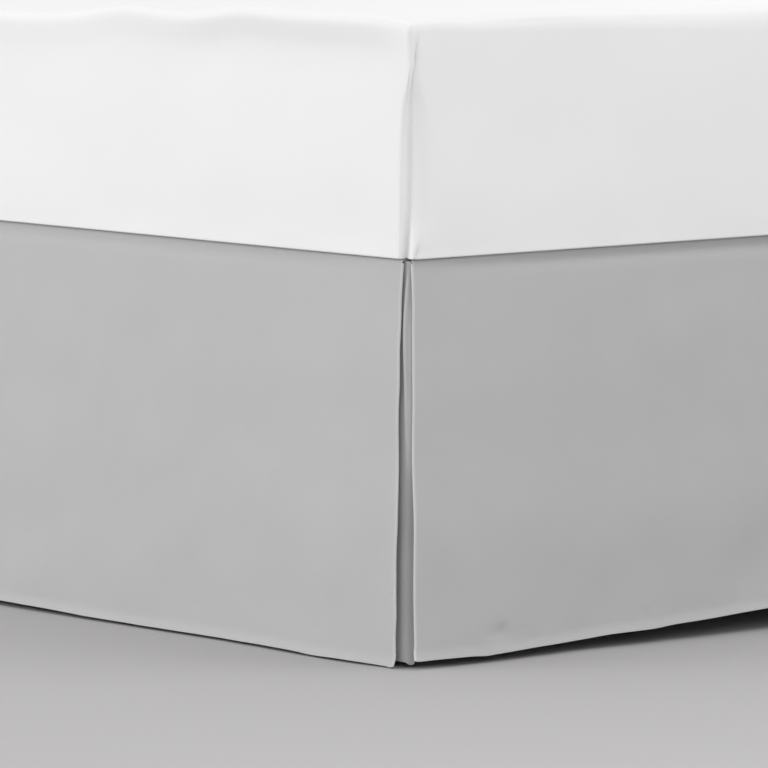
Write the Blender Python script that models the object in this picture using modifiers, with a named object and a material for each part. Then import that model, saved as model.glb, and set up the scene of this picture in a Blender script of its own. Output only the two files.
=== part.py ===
"""Tailored bed skirt on a plain twin bed.

Three flat drops hang round a box spring from a deck that lies under the mattress. At each foot
corner the drops part, their folded edges turn back, and an underlay closes the corner behind them.
The bed that carries the skirt is plain: mattress in a fitted sheet, box spring, steel frame.

Metres, +Z up. The origin is on the floor under the middle of the bed, the foot is at -Y, and the
skirt is open at the head, +Y. Each cloth is a grid of columns along the drop and rows down it.
"""

import math

import bmesh
import bpy
from mathutils import Matrix, Vector

COLLECTION = "bed_skirt"

# The bed
MATTRESS_WIDTH = 0.991
MATTRESS_LENGTH = 1.905
MATTRESS_HEIGHT = 0.226
MATTRESS_CORNER_DIP = 0.014  # how far the fitted sheet pulls the top corners down
MATTRESS_DIP_REACH = 0.260
MATTRESS_LOOPS = (0.012, 0.050, 0.140, 0.280)  # cage loops, in from each side
MATTRESS_TOP_LOOP = 0.016
MATTRESS_BOTTOM_LOOP = 0.005
SHEET_EASE = 0.0025  # what the fitted sheet adds on each side
BOX_TOP = 0.3875
BOX_HEIGHT = 0.200
BOX_CORNER_RADIUS = 0.030
BOX_EDGE_RADIUS = 0.010

# The steel frame under the box spring
STEEL = 0.0025
ANGLE_WIDTH = 0.038
ANGLE_DEPTH = 0.038
SIDE_RAIL_FACE = 0.460
SIDE_RAIL_LENGTH = 1.800
CROSS_RAIL_AT = 0.700
LEG_RADIUS = 0.016
LEG_AT = 0.435
GLIDE_RADIUS = 0.025
GLIDE_FOOT_RADIUS = 0.021
GLIDE_HEIGHT = 0.012
TOUCH_GAP = 0.0003  # between pieces that rest on each other

# The cloth
CLOTH = 0.0015
OVERHANG = 0.006  # mattress past the face of the drops
FOLD_RADIUS = 0.00125  # middle of the cloth, where an edge turns back
RETURN_WIDTH = 0.040
LAYER_GAP = 0.0005
BOX_CLEARANCE = 0.002
BEND_RADIUS = 0.003  # middle of the cloth, over the box spring's edge
DROP_FLANGE = 0.040
UNDERLAY_ARM = 0.120
UNDERLAY_FLANGE = 0.0255
UNDERLAY_CORNER_RADIUS = 0.008
DECK_INSET = 0.0365  # deck's edge from the drops' face
MITRE_GAP = 0.0015
DROP_FLARE = 0.004  # how far a drop leans out by its hem
UNDERLAY_FLARE = 0.002
UNDERLAY_HEM = 0.005

BEND_STEPS = 4
TURN_STEPS = 4
WALL_ROWS = 8

# Worked out from the sizes above
BED_HALF_X = MATTRESS_WIDTH / 2 + SHEET_EASE
BED_HALF_Y = MATTRESS_LENGTH / 2 + SHEET_EASE
FACE_X = BED_HALF_X - OVERHANG
FACE_Y = BED_HALF_Y - OVERHANG
LAYERS = 3 * CLOTH + (2 * FOLD_RADIUS - CLOTH) + LAYER_GAP + BOX_CLEARANCE
BOX_HALF_X = FACE_X - LAYERS
BOX_HALF_Y = FACE_Y - LAYERS
BOX_BOTTOM = BOX_TOP - BOX_HEIGHT
DECK_Z = BOX_TOP + TOUCH_GAP + CLOTH / 2
DROP_TOP_Z = DECK_Z + CLOTH + TOUCH_GAP
MATTRESS_BOTTOM = DROP_TOP_Z + CLOTH / 2 + TOUCH_GAP
DROP_MID_X = FACE_X - CLOTH / 2
DROP_MID_Y = FACE_Y - CLOTH / 2
UNDERLAY_BEHIND = CLOTH + 2 * FOLD_RADIUS + LAYER_GAP  # from a drop's middle to the underlay's
SIDE_RAIL_TOP = BOX_BOTTOM - TOUCH_GAP
CROSS_RAIL_TOP = SIDE_RAIL_TOP - STEEL - TOUCH_GAP
LEG_TOP = CROSS_RAIL_TOP - STEEL - TOUCH_GAP

# Soft ridges (+) and troughs (-) of a drop, metres: middle, half-width, proud at the hem
SIDE_FOLDS = [
    ("along", "half_width", "proud"),
    (0.070, 0.060, 0.0008),
    (0.300, 0.110, -0.0014),
    (0.540, 0.100, 0.0014),
    (0.800, 0.120, -0.0015),
    (1.080, 0.110, 0.0013),
    (1.350, 0.120, -0.0015),
    (1.640, 0.110, 0.0012),
]
FOOT_FOLDS = [
    ("along", "half_width", "proud"),
    (0.060, 0.050, 0.0010),
    (0.230, 0.080, -0.0018),
    (0.400, 0.080, 0.0016),
    (0.570, 0.080, -0.0018),
    (0.740, 0.080, 0.0014),
    (0.930, 0.050, 0.0008),
]
# Height of a hem over the floor, metres, along the drop from its near corner
SIDE_HEM = [
    ("along", "height"),
    (0.000, 0.0015),
    (0.500, 0.0015),
    (0.650, 0.0023),
    (1.100, 0.0050),
    (1.500, 0.0030),
    (1.920, 0.0040),
]
FOOT_HEM = [
    ("along", "height"),
    (0.000, 0.0080),
    (0.075, 0.0080),
    (0.095, 0.0068),
    (0.165, 0.0096),
    (0.250, 0.0128),
    (0.320, 0.0145),
    (0.390, 0.0182),
    (0.466, 0.0225),
    (0.540, 0.0240),
    (0.640, 0.0205),
    (0.780, 0.0130),
    (0.900, 0.0080),
    (0.990, 0.0070),
]
# How far each folded edge stands from its corner, metres
SIDE_EDGE_TOP, SIDE_EDGE_HEM = 0.0092, 0.0205
FOOT_EDGE_TOP, FOOT_EDGE_HEM = 0.0020, 0.0052
HEAD_EDGE = FACE_Y - BOX_HALF_Y  # the side drops end level with the box spring's head

MATERIALS = [
    ("name", "colour", "roughness", "metallic"),
    ("skirt_cloth", (0.52, 0.52, 0.525), 0.85, 0.0),
    ("fitted_sheet", (0.86, 0.86, 0.865), 0.80, 0.0),
    ("box_ticking", (0.62, 0.61, 0.58), 0.85, 0.0),
    ("painted_steel", (0.045, 0.045, 0.048), 0.45, 0.0),
    ("glide_plastic", (0.03, 0.03, 0.03), 0.55, 0.0),
]


def clear_scene():
    for obj in list(bpy.data.objects):
        bpy.data.objects.remove(obj, do_unlink=True)


def named_rows(table):
    """The rows of a table as dictionaries keyed by its first row."""
    header, *rows = table
    return [dict(zip(header, row)) for row in rows]


def make_materials():
    made = {}
    for row in named_rows(MATERIALS):
        material = bpy.data.materials.new(row["name"])
        material.use_nodes = True
        shader = material.node_tree.nodes["Principled BSDF"]
        shader.inputs["Base Color"].default_value = (*row["colour"], 1.0)
        shader.inputs["Roughness"].default_value = row["roughness"]
        shader.inputs["Metallic"].default_value = row["metallic"]
        made[row["name"]] = material
    return made


def smoothstep(value):
    value = min(1.0, max(0.0, value))
    return value * value * (3.0 - 2.0 * value)


def mix(low, high, share):
    return low + (high - low) * share


def table_value(table, along):
    """The height in a table of (along, height) at one place, eased between rows."""
    rows = named_rows(table)
    for low, high in zip(rows, rows[1:]):
        if along <= high["along"]:
            share = (along - low["along"]) / (high["along"] - low["along"])
            return mix(low["height"], high["height"], smoothstep(share))
    return rows[-1]["height"]


def folds_at(table, along):
    """How far a drop's soft folds stand proud at its hem."""
    total = 0.0
    for fold in named_rows(table):
        away = abs(along - fold["along"]) / fold["half_width"]
        total += fold["proud"] * (1.0 - smoothstep(away))
    return total


def add_object(name, mesh, material, collection):
    obj = bpy.data.objects.new(name, mesh)
    mesh.materials.append(material)
    collection.objects.link(obj)
    return obj


def bevel(bm, edges, radius, segments):
    bmesh.ops.bevel(
        bm,
        geom=edges,
        offset=radius,
        offset_type="OFFSET",
        segments=segments,
        profile=0.5,
        affect="EDGES",
    )


def is_upright(edge):
    across = edge.verts[0].co - edge.verts[1].co
    return abs(across.z) > 1e-4 and abs(across.x) < 1e-5 and abs(across.y) < 1e-5


def edges_at_height(bm, height):
    return [e for e in bm.edges if all(abs(v.co.z - height) < 1e-5 for v in e.verts)]


def cut_loop(bm, axis, at):
    """Cuts an edge loop all round the cage, across one axis."""
    point = [0.0, 0.0, 0.0]
    normal = [0.0, 0.0, 0.0]
    point[axis] = at
    normal[axis] = 1.0
    everything = bm.verts[:] + bm.edges[:] + bm.faces[:]
    bmesh.ops.bisect_plane(bm, geom=everything, dist=1e-6, plane_co=point, plane_no=normal)


def make_mattress(materials, collection):
    """A soft block: a cage with loops near its edges, smoothed, its top corners pulled down."""
    top = MATTRESS_BOTTOM + MATTRESS_HEIGHT
    size = (2 * BED_HALF_X, 2 * BED_HALF_Y, MATTRESS_HEIGHT)
    bm = bmesh.new()
    middle = Matrix.Translation((0.0, 0.0, (MATTRESS_BOTTOM + top) / 2))
    bmesh.ops.create_cube(bm, size=1.0, matrix=middle @ Matrix.Diagonal((*size, 1.0)))
    for loop in MATTRESS_LOOPS:
        for axis, half in ((0, BED_HALF_X), (1, BED_HALF_Y)):
            cut_loop(bm, axis, half - loop)
            cut_loop(bm, axis, loop - half)
    for at in (MATTRESS_BOTTOM + MATTRESS_BOTTOM_LOOP, (MATTRESS_BOTTOM + top) / 2):
        cut_loop(bm, 2, at)
    cut_loop(bm, 2, top - MATTRESS_TOP_LOOP)
    for vert in bm.verts:
        across, along = BED_HALF_X - abs(vert.co.x), BED_HALF_Y - abs(vert.co.y)
        pull = 1.0 - smoothstep(math.hypot(across, along) / MATTRESS_DIP_REACH)
        height_share = (vert.co.z - MATTRESS_BOTTOM) / MATTRESS_HEIGHT
        vert.co.z -= MATTRESS_CORNER_DIP * pull * height_share**3
    mesh = bpy.data.meshes.new("mattress")
    bm.to_mesh(mesh)
    bm.free()
    mesh.shade_smooth()
    obj = add_object("mattress", mesh, materials["fitted_sheet"], collection)
    smooth = obj.modifiers.new("smooth", "SUBSURF")
    smooth.levels = smooth.render_levels = 1


def make_box_spring(materials, collection):
    """A rounded block for the box spring."""
    bm = bmesh.new()
    size = (2 * BOX_HALF_X, 2 * BOX_HALF_Y, BOX_HEIGHT)
    middle = Matrix.Translation((0.0, 0.0, BOX_BOTTOM + BOX_HEIGHT / 2))
    bmesh.ops.create_cube(bm, size=1.0, matrix=middle @ Matrix.Diagonal((*size, 1.0)))
    bevel(bm, [e for e in bm.edges if is_upright(e)], BOX_CORNER_RADIUS, 5)
    bevel(bm, edges_at_height(bm, BOX_TOP), BOX_EDGE_RADIUS, 4)
    bevel(bm, edges_at_height(bm, BOX_BOTTOM), BOX_EDGE_RADIUS, 4)
    mesh = bpy.data.meshes.new("box_spring")
    bm.to_mesh(mesh)
    bm.free()
    mesh.shade_smooth()
    mesh.set_sharp_from_angle(angle=math.radians(35))
    add_object("box_spring", mesh, materials["box_ticking"], collection)


def make_angle(name, length, place, material, collection):
    """A steel angle: an L outline, extruded along its length and turned by place."""
    outline = [
        (0.0, 0.0),
        (0.0, -ANGLE_DEPTH),
        (STEEL, -ANGLE_DEPTH),
        (STEEL, -STEEL),
        (ANGLE_WIDTH, -STEEL),
        (ANGLE_WIDTH, 0.0),
    ]
    curve = bpy.data.curves.new(name, "CURVE")
    curve.dimensions = "2D"
    curve.fill_mode = "BOTH"
    curve.extrude = length / 2
    spline = curve.splines.new("POLY")
    spline.points.add(len(outline) - 1)
    for point, (across, up) in zip(spline.points, outline):
        point.co = (across, up, 0.0, 1.0)
    spline.use_cyclic_u = True
    obj = add_object(name, curve, material, collection)
    obj.matrix_world = place
    return obj


def make_frame(materials, collection):
    """Two side rails, two cross rails under them, and a leg with its glide at each corner."""
    steel = materials["painted_steel"]
    stand_up = Matrix.Rotation(math.radians(90), 4, "X")
    for side, sign in (("left", -1), ("right", 1)):
        turn = Matrix.Rotation(0.0 if sign < 0 else math.pi, 4, "Z")
        place = Matrix.Translation((sign * SIDE_RAIL_FACE, 0.0, SIDE_RAIL_TOP)) @ turn @ stand_up
        make_angle(f"side_rail_{side}", SIDE_RAIL_LENGTH, place, steel, collection)
    cross_length = 2 * (SIDE_RAIL_FACE - STEEL - TOUCH_GAP)
    for end, sign in (("foot", -1), ("head", 1)):
        turn = Matrix.Rotation(math.radians(90) * -sign, 4, "Z")
        place = Matrix.Translation((0.0, sign * CROSS_RAIL_AT, CROSS_RAIL_TOP)) @ turn @ stand_up
        make_angle(f"cross_rail_{end}", cross_length, place, steel, collection)
        leg_y = sign * (CROSS_RAIL_AT - STEEL - TOUCH_GAP - LEG_RADIUS)
        for side, side_sign in (("left", -1), ("right", 1)):
            make_leg(f"{end}_{side}", side_sign * LEG_AT, leg_y, materials, collection)


def make_leg(where, x, y, materials, collection):
    bottom = GLIDE_HEIGHT + TOUCH_GAP
    bm = bmesh.new()
    middle = Matrix.Translation((x, y, (LEG_TOP + bottom) / 2))
    bmesh.ops.create_cone(
        bm,
        cap_ends=True,
        segments=24,
        radius1=LEG_RADIUS,
        radius2=LEG_RADIUS,
        depth=LEG_TOP - bottom,
        matrix=middle,
    )
    mesh = bpy.data.meshes.new(f"leg_{where}")
    bm.to_mesh(mesh)
    bm.free()
    mesh.shade_smooth()
    mesh.set_sharp_from_angle(angle=math.radians(35))
    add_object(f"leg_{where}", mesh, materials["painted_steel"], collection)
    make_glide(where, x, y, materials["glide_plastic"], collection)


def make_glide(where, x, y, material, collection):
    """A turned glide: a flat foot, a flared side and a flat seat under the leg."""
    profile = [
        (0.0, GLIDE_HEIGHT),
        (LEG_RADIUS + 0.003, GLIDE_HEIGHT),
        (GLIDE_RADIUS, GLIDE_HEIGHT / 2),
        (GLIDE_RADIUS, GLIDE_HEIGHT / 4),
        (GLIDE_FOOT_RADIUS, 0.0),
        (0.0, 0.0),
    ]
    mesh = bpy.data.meshes.new(f"glide_{where}")
    edges = [(i, i + 1) for i in range(len(profile) - 1)]
    mesh.from_pydata([(r, 0.0, z) for r, z in profile], edges, [])
    obj = add_object(f"glide_{where}", mesh, material, collection)
    obj.location = (x, y, 0.0)
    screw = obj.modifiers.new("turn", "SCREW")
    screw.steps = screw.render_steps = 32
    screw.use_merge_vertices = True
    screw.merge_threshold = 0.00005
    screw.use_smooth_shade = False


def make_deck(materials, collection):
    """The platform that lies on the box spring and carries the drops."""
    x = FACE_X - DECK_INSET
    foot = -(FACE_Y - DECK_INSET)
    head = BOX_HALF_Y
    bm = bmesh.new()
    size = (2 * x, head - foot, CLOTH)
    middle = Matrix.Translation((0.0, (head + foot) / 2, DECK_Z))
    bmesh.ops.create_cube(bm, size=1.0, matrix=middle @ Matrix.Diagonal((*size, 1.0)))
    bevel(bm, [e for e in bm.edges if is_upright(e)], BEND_RADIUS, 3)
    mesh = bpy.data.meshes.new("deck")
    bm.to_mesh(mesh)
    bm.free()
    add_object("deck", mesh, materials["skirt_cloth"], collection)


def make_cloth(name, grid, keep, material, collection):
    """A sheet from a grid of points, one list a column. keep says which cells are cloth."""
    bm = bmesh.new()
    columns = [[bm.verts.new(point) for point in column] for column in grid]
    for c, (left, right) in enumerate(zip(columns, columns[1:])):
        for r in range(len(left) - 1):
            if keep(c, r):
                bm.faces.new((left[r], left[r + 1], right[r + 1], right[r]))
    bmesh.ops.delete(bm, geom=[v for v in bm.verts if not v.link_faces], context="VERTS")
    bmesh.ops.recalc_face_normals(bm, faces=bm.faces)
    mesh = bpy.data.meshes.new(name)
    bm.to_mesh(mesh)
    bm.free()
    mesh.shade_smooth()
    obj = add_object(name, mesh, material, collection)
    solidify = obj.modifiers.new("thickness", "SOLIDIFY")
    solidify.thickness = CLOTH
    solidify.offset = 0.0
    solidify.use_even_offset = True
    return obj


def flange_rows(depth):
    """Rows of a top border, inner edge first, then over the bend: (inset, below the top)."""
    rows = [(BEND_RADIUS + depth, 0.0), (BEND_RADIUS + depth / 2, 0.0)]
    for step in range(BEND_STEPS + 1):
        angle = math.radians(90) * step / BEND_STEPS
        rows.append((BEND_RADIUS * (1 - math.sin(angle)), BEND_RADIUS * (1 - math.cos(angle))))
    return rows


def turned_columns(far_end):
    """Columns of an edge that turns back: (distance in from the fold, depth behind the face)."""
    columns = [
        (FOLD_RADIUS + RETURN_WIDTH, 2 * FOLD_RADIUS),
        (FOLD_RADIUS + RETURN_WIDTH / 2, 2 * FOLD_RADIUS),
        (FOLD_RADIUS, 2 * FOLD_RADIUS),
    ]
    for step in range(1, TURN_STEPS):
        angle = math.radians(180) * step / TURN_STEPS
        distance = FOLD_RADIUS * (1 - math.sin(angle))
        columns.append((distance, FOLD_RADIUS * (1 + math.cos(angle))))
    return columns[::-1] if far_end else columns


class Drop:
    """One drop. Its points are (along, out, z): along from its near corner, out from its face."""

    def __init__(self, length, front_columns, folds, hem, edges, far_folded):
        self.length = length
        self.folds = folds
        self.hem = hem
        self.edges = edges
        self.near = turned_columns(False)
        self.far = turned_columns(True) if far_folded else []
        self.front_columns = front_columns
        self.rows = flange_rows(DROP_FLANGE)

    def edge_at(self, end, share, inset):
        """Where a folded edge stands from its corner. The top border is mitred."""
        top, hem = self.edges[end]
        if end == "far" and not self.far:
            return top
        return max(mix(top, hem, share), inset + MITRE_GAP if inset > 0 else 0.0)

    def column_points(self, place):
        points = []
        for inset, below in self.rows:
            points.append(place(0.0, inset, DROP_TOP_Z - below))
        for row in range(1, WALL_ROWS + 1):
            points.append(place(row / WALL_ROWS, 0.0, None))
        return points

    def point(self, share, inset, z, from_near, from_far, fraction, behind):
        """One point of the cloth, by its share of the drop and its place along it."""
        start = self.edge_at("near", share, inset)
        end = self.length - self.edge_at("far", share, inset)
        if from_near is not None:
            along = start + from_near
        elif from_far is not None:
            along = end - from_far
        else:
            last = end - (FOLD_RADIUS if self.far else 0.0)
            along = mix(start + FOLD_RADIUS, last, fraction)
        hang = smoothstep(share)
        out = hang * folds_at(self.folds, along) + share * DROP_FLARE - inset - behind
        if z is None:
            top = DROP_TOP_Z - BEND_RADIUS
            z = mix(top, table_value(self.hem, along), share)
        return along, out, z

    def grid(self, to_world):
        columns = []
        for distance, behind in self.near:
            columns.append(
                self.column_points(
                    lambda s, i, z, d=distance, b=behind: self.point(s, i, z, d, None, None, b)
                )
            )
        for index in range(self.front_columns + 1):
            share = index / self.front_columns
            columns.append(
                self.column_points(
                    lambda s, i, z, f=share: self.point(s, i, z, None, None, f, 0.0)
                )
            )
        for distance, behind in self.far:
            columns.append(
                self.column_points(
                    lambda s, i, z, d=distance, b=behind: self.point(s, i, z, None, d, None, b)
                )
            )
        return [[to_world(*point) for point in column] for column in columns]

    def keep(self, column, row):
        """The top border and the bend belong to the face alone, not to the turned edges."""
        first = len(self.near)
        last = first + self.front_columns
        return first <= column < last or row >= len(self.rows) - 1


def make_drops(materials, collection):
    cloth = materials["skirt_cloth"]
    side_edges = {"near": (SIDE_EDGE_TOP, SIDE_EDGE_HEM), "far": (HEAD_EDGE, HEAD_EDGE)}
    side = Drop(2 * FACE_Y, 22, SIDE_FOLDS, SIDE_HEM, side_edges, far_folded=False)
    for name, sign in (("drop_left", -1), ("drop_right", 1)):
        grid = side.grid(
            lambda along, out, z, s=sign: Vector((s * (DROP_MID_X + out), along - FACE_Y, z))
        )
        make_cloth(name, grid, side.keep, cloth, collection)
    foot_edges = {"near": (FOOT_EDGE_TOP, FOOT_EDGE_HEM), "far": (FOOT_EDGE_TOP, FOOT_EDGE_HEM)}
    foot = Drop(2 * FACE_X, 16, FOOT_FOLDS, FOOT_HEM, foot_edges, far_folded=True)
    grid = foot.grid(lambda along, out, z: Vector((along - FACE_X, -(DROP_MID_Y + out), z)))
    make_cloth("drop_foot", grid, foot.keep, cloth, collection)


def underlay_stations():
    """Plan stations round the corner: (place, outward direction, most the border can be)."""
    radius = UNDERLAY_CORNER_RADIUS
    arm_steps = 4
    arc_steps = 6
    stations = []
    for step in range(arm_steps):
        away = UNDERLAY_ARM * (1 - step / arm_steps)
        stations.append(((0.0, radius + away), (-1.0, 0.0), away))
    for step in range(arc_steps + 1):
        angle = math.radians(180 + 90 * step / arc_steps)
        direction = (math.cos(angle), math.sin(angle))
        place = (radius + radius * direction[0], radius + radius * direction[1])
        stations.append((place, direction, 0.0))
    for step in range(1, arm_steps + 1):
        away = UNDERLAY_ARM * step / arm_steps
        stations.append(((radius + away, 0.0), (0.0, -1.0), away))
    return stations


def make_underlay(name, sign, material, collection):
    """The corner piece: two arms and a soft corner, its border notched at the corner."""
    corner_x = DROP_MID_X - UNDERLAY_BEHIND
    corner_y = DROP_MID_Y - UNDERLAY_BEHIND
    least_border = UNDERLAY_CORNER_RADIUS * 0.3
    grid = []
    for (px, py), (nx, ny), away in underlay_stations():
        border = min(UNDERLAY_FLANGE, least_border + 0.8 * away)
        points = []
        for inset, below in flange_rows(border):
            points.append((inset, 0.0, DECK_Z - below))
        top = DECK_Z - BEND_RADIUS
        for row in range(1, WALL_ROWS + 1):
            share = row / WALL_ROWS
            points.append((0.0, share * UNDERLAY_FLARE, mix(top, UNDERLAY_HEM, share)))
        column = []
        for inset, flare, z in points:
            x = -corner_x + px + nx * (flare - inset)
            y = -corner_y + py + ny * (flare - inset)
            column.append(Vector((-sign * x, y, z)))
        grid.append(column)
    make_cloth(name, grid, lambda column, row: True, material, collection)


def main():
    clear_scene()
    collection = bpy.data.collections.new(COLLECTION)
    bpy.context.scene.collection.children.link(collection)
    materials = make_materials()
    make_mattress(materials, collection)
    make_box_spring(materials, collection)
    make_frame(materials, collection)
    make_deck(materials, collection)
    make_drops(materials, collection)
    make_underlay("underlay_left", -1, materials["skirt_cloth"], collection)
    make_underlay("underlay_right", 1, materials["skirt_cloth"], collection)


main()
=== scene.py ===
"""Looks of a tailored bed skirt on a plain twin bed.

Three flat drops of smooth grey cloth hang round a box spring. They part at the foot corners, where
their edges turn back and an underlay closes the corner behind them. A mattress in a white fitted
sheet rests on the skirt's deck, and a box spring on a steel frame carries it all.

Metres, +Z up, the foot at -Y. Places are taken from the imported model's own nodes.
"""

import logging
import math
from dataclasses import dataclass
from enum import Enum
from typing import Callable, Iterable, Sequence, Union

import bpy
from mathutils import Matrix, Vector, noise


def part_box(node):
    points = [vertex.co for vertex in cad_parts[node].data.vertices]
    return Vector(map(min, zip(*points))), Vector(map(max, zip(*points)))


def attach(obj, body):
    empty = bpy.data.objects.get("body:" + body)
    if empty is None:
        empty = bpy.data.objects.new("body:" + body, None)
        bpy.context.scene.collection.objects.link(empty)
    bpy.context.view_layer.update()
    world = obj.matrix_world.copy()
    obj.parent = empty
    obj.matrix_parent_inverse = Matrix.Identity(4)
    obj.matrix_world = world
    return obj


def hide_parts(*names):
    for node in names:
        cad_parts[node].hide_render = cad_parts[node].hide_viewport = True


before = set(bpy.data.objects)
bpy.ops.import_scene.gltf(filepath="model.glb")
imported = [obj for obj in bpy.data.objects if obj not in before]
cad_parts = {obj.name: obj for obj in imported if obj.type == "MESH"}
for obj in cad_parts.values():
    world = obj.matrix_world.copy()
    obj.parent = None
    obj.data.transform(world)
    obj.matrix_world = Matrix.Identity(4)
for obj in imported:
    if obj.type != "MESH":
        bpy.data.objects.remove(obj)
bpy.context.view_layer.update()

LOG = logging.getLogger("bed_skirt")
BODY = "root"

OVERHANG = 0.006  # mattress past the face of the drops
SOLID_CLOTH = 0.0015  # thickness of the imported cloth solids
CLOTH = 0.0008  # thickness of the cloth that is dressed here
BEND_RADIUS = 0.003  # middle of the cloth over the box spring's edge
MM = 0.001  # metres in a millimetre
SHARP_ANGLE = math.radians(50)
CORNER_HEADING = math.radians(225)  # from the bed's middle to its foot left corner

Piece = bpy.types.Object
Material = bpy.types.Material
Socket = bpy.types.NodeSocket
RGB = tuple[float, float, float]
Place = Callable[[int, int], Vector]


# ---------------------------------------------------------------- small sums


def mix(low: float, high: float, share: float) -> float:
    """The value a share of the way from low to high."""
    return low + (high - low) * share


def smoothstep(value: float) -> float:
    """Eases from 0 to 1, and stays there on either side."""
    value = min(1.0, max(0.0, value))
    return value * value * (3.0 - 2.0 * value)


def swell(away: float) -> float:
    """A soft hump: 1 at 0, and 0 from 1 on, both ways."""
    return 1.0 - smoothstep(abs(away))


@dataclass(frozen=True)
class Uneven:
    """Slow unevenness of cloth.

    size is the metres of one patch, depth how far it swings, squash how much longer its patches
    are the second way, and layer picks one pattern among many.
    """

    size: float
    depth: float
    layer: float = 0.0
    squash: float = 1.0

    def at(self, first: float, second: float, layer: float = 0.0) -> float:
        """Metres that the cloth stands out at a place, about half its depth at most."""
        place = (first / self.size, second * self.squash / self.size, self.layer + layer)
        return self.depth * noise.noise(Vector(place))


@dataclass(frozen=True)
class Profile:
    """A value that runs smoothly through its stops, such as a hem's height along a drop."""

    stops: tuple[tuple[float, float], ...]

    @classmethod
    def mm(cls, *stops: tuple[float, float]) -> "Profile":
        """A profile from stops in millimetres."""
        return cls(tuple((place * MM, value * MM) for place, value in stops))

    def slope(self, index: int) -> float:
        """How steeply the value passes one stop.

        Args:
            index: The stop's number.

        Returns:
            The rise of the value over that of the place.
        """
        before = self.stops[max(0, index - 1)]
        after = self.stops[min(len(self.stops) - 1, index + 1)]
        return (after[1] - before[1]) / (after[0] - before[0])

    def at(self, place: float) -> float:
        """Reads the value at one place.

        Args:
            place: Where to read it. Outside the stops, the end values hold.

        Returns:
            The value there.
        """
        if place <= self.stops[0][0]:
            return self.stops[0][1]
        for index in range(len(self.stops) - 1):
            (start, low), (end, high) = self.stops[index], self.stops[index + 1]
            if place <= end:
                span = end - start
                t = (place - start) / span
                rise = high - low
                leave, arrive = self.slope(index) * span, self.slope(index + 1) * span
                bend = (leave - 2 * rise + arrive) * t + (3 * rise - 2 * leave - arrive)
                return low + t * (leave + t * bend)
        return self.stops[-1][1]


@dataclass(frozen=True)
class Crease:
    """A soft ridge (+) or trough (-) laid on a cloth.

    Fields are metres, but lean: degrees that its top leans away from the drop's near corner.
    """

    along: float
    height: float
    half_length: float
    half_width: float
    proud: float
    lean: float = 0.0

    SIZES = 5

    @classmethod
    def rows(cls, *rows: tuple[float, ...]) -> tuple["Crease", ...]:
        """Creases from rows of five sizes in millimetres and, where one leans, its degrees."""
        sizes = [[size * MM for size in row[: cls.SIZES]] for row in rows]
        return tuple(cls(*size, *row[cls.SIZES :]) for size, row in zip(sizes, rows))

    def at(self, along: float, height: float) -> float:
        """How far the crease stands proud of one place.

        Args:
            along: Metres along the cloth.
            height: Metres over the floor.

        Returns:
            The metres out.
        """
        angle = math.radians(self.lean)
        aside, up = along - self.along, height - self.height
        run = up * math.cos(angle) + aside * math.sin(angle)
        across = aside * math.cos(angle) - up * math.sin(angle)
        return self.proud * swell(across / self.half_width) * swell(run / self.half_length)


def creases_at(creases: Iterable[Crease], along: float, height: float) -> float:
    """How far a set of creases stands proud of one place."""
    return sum(crease.at(along, height) for crease in creases)


# ---------------------------------------------------------------- mesh helpers


def clear_selection() -> None:
    """Deselects every object."""
    bpy.ops.object.select_all(action="DESELECT")


def pick(piece: Piece) -> None:
    """Makes one object the only selected and active one.

    Args:
        piece: The object.
    """
    clear_selection()
    piece.select_set(True)
    bpy.context.view_layer.objects.active = piece


def add_lattice(name: str, columns: int, rows: int) -> Piece:
    """Adds a flat grid of cloth cells, to be laid out afterwards.

    Args:
        name: The piece's name.
        columns: Cells along the cloth.
        rows: Cells across it.

    Returns:
        The new object, one metre square, its middle at the origin.
    """
    clear_selection()
    bpy.ops.mesh.primitive_grid_add(x_subdivisions=columns, y_subdivisions=rows, size=1.0)
    grid = bpy.context.object
    grid.name = grid.data.name = name
    return grid


def lattice_place(point: Vector, columns: int, rows: int) -> tuple[int, int]:
    """The column and row of a lattice point."""
    return round((point.x + 0.5) * columns), round((point.y + 0.5) * rows)


def delete_faces(piece: Piece, unwanted: Callable[[Vector], bool]) -> None:
    """Deletes the faces whose middle a test names, and what is left loose.

    Args:
        piece: The mesh object.
        unwanted: Says of a face's middle whether the face goes.
    """
    pick(piece)
    bpy.ops.object.mode_set(mode="EDIT")
    bpy.context.tool_settings.mesh_select_mode = (False, False, True)
    bpy.ops.mesh.select_all(action="DESELECT")
    bpy.ops.object.mode_set(mode="OBJECT")
    for face in piece.data.polygons:
        face.select = unwanted(face.center)
    bpy.ops.object.mode_set(mode="EDIT")
    bpy.ops.mesh.delete(type="FACE")
    bpy.ops.mesh.select_all(action="SELECT")
    bpy.ops.mesh.delete_loose()
    bpy.ops.object.mode_set(mode="OBJECT")


def lay_out(
    piece: Piece,
    columns: int,
    rows: int,
    place: Place,
    cloth: Callable[[int, int], tuple[float, float]],
) -> None:
    """Moves a lattice's points to where the cloth hangs, and maps the cloth's own metres.

    Args:
        piece: The lattice.
        columns: Its cells along the cloth.
        rows: Its cells across it.
        place: The world point of a column and row.
        cloth: The place of a column and row on the flat cloth, metres.
    """
    mesh = piece.data
    spots = [lattice_place(vertex.co, columns, rows) for vertex in mesh.vertices]
    for vertex, spot in zip(mesh.vertices, spots):
        vertex.co = place(*spot)
    layer = mesh.uv_layers.active
    for loop in mesh.loops:
        layer.data[loop.index].uv = cloth(*spots[loop.vertex_index])
    layer.name = "cloth"


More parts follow.
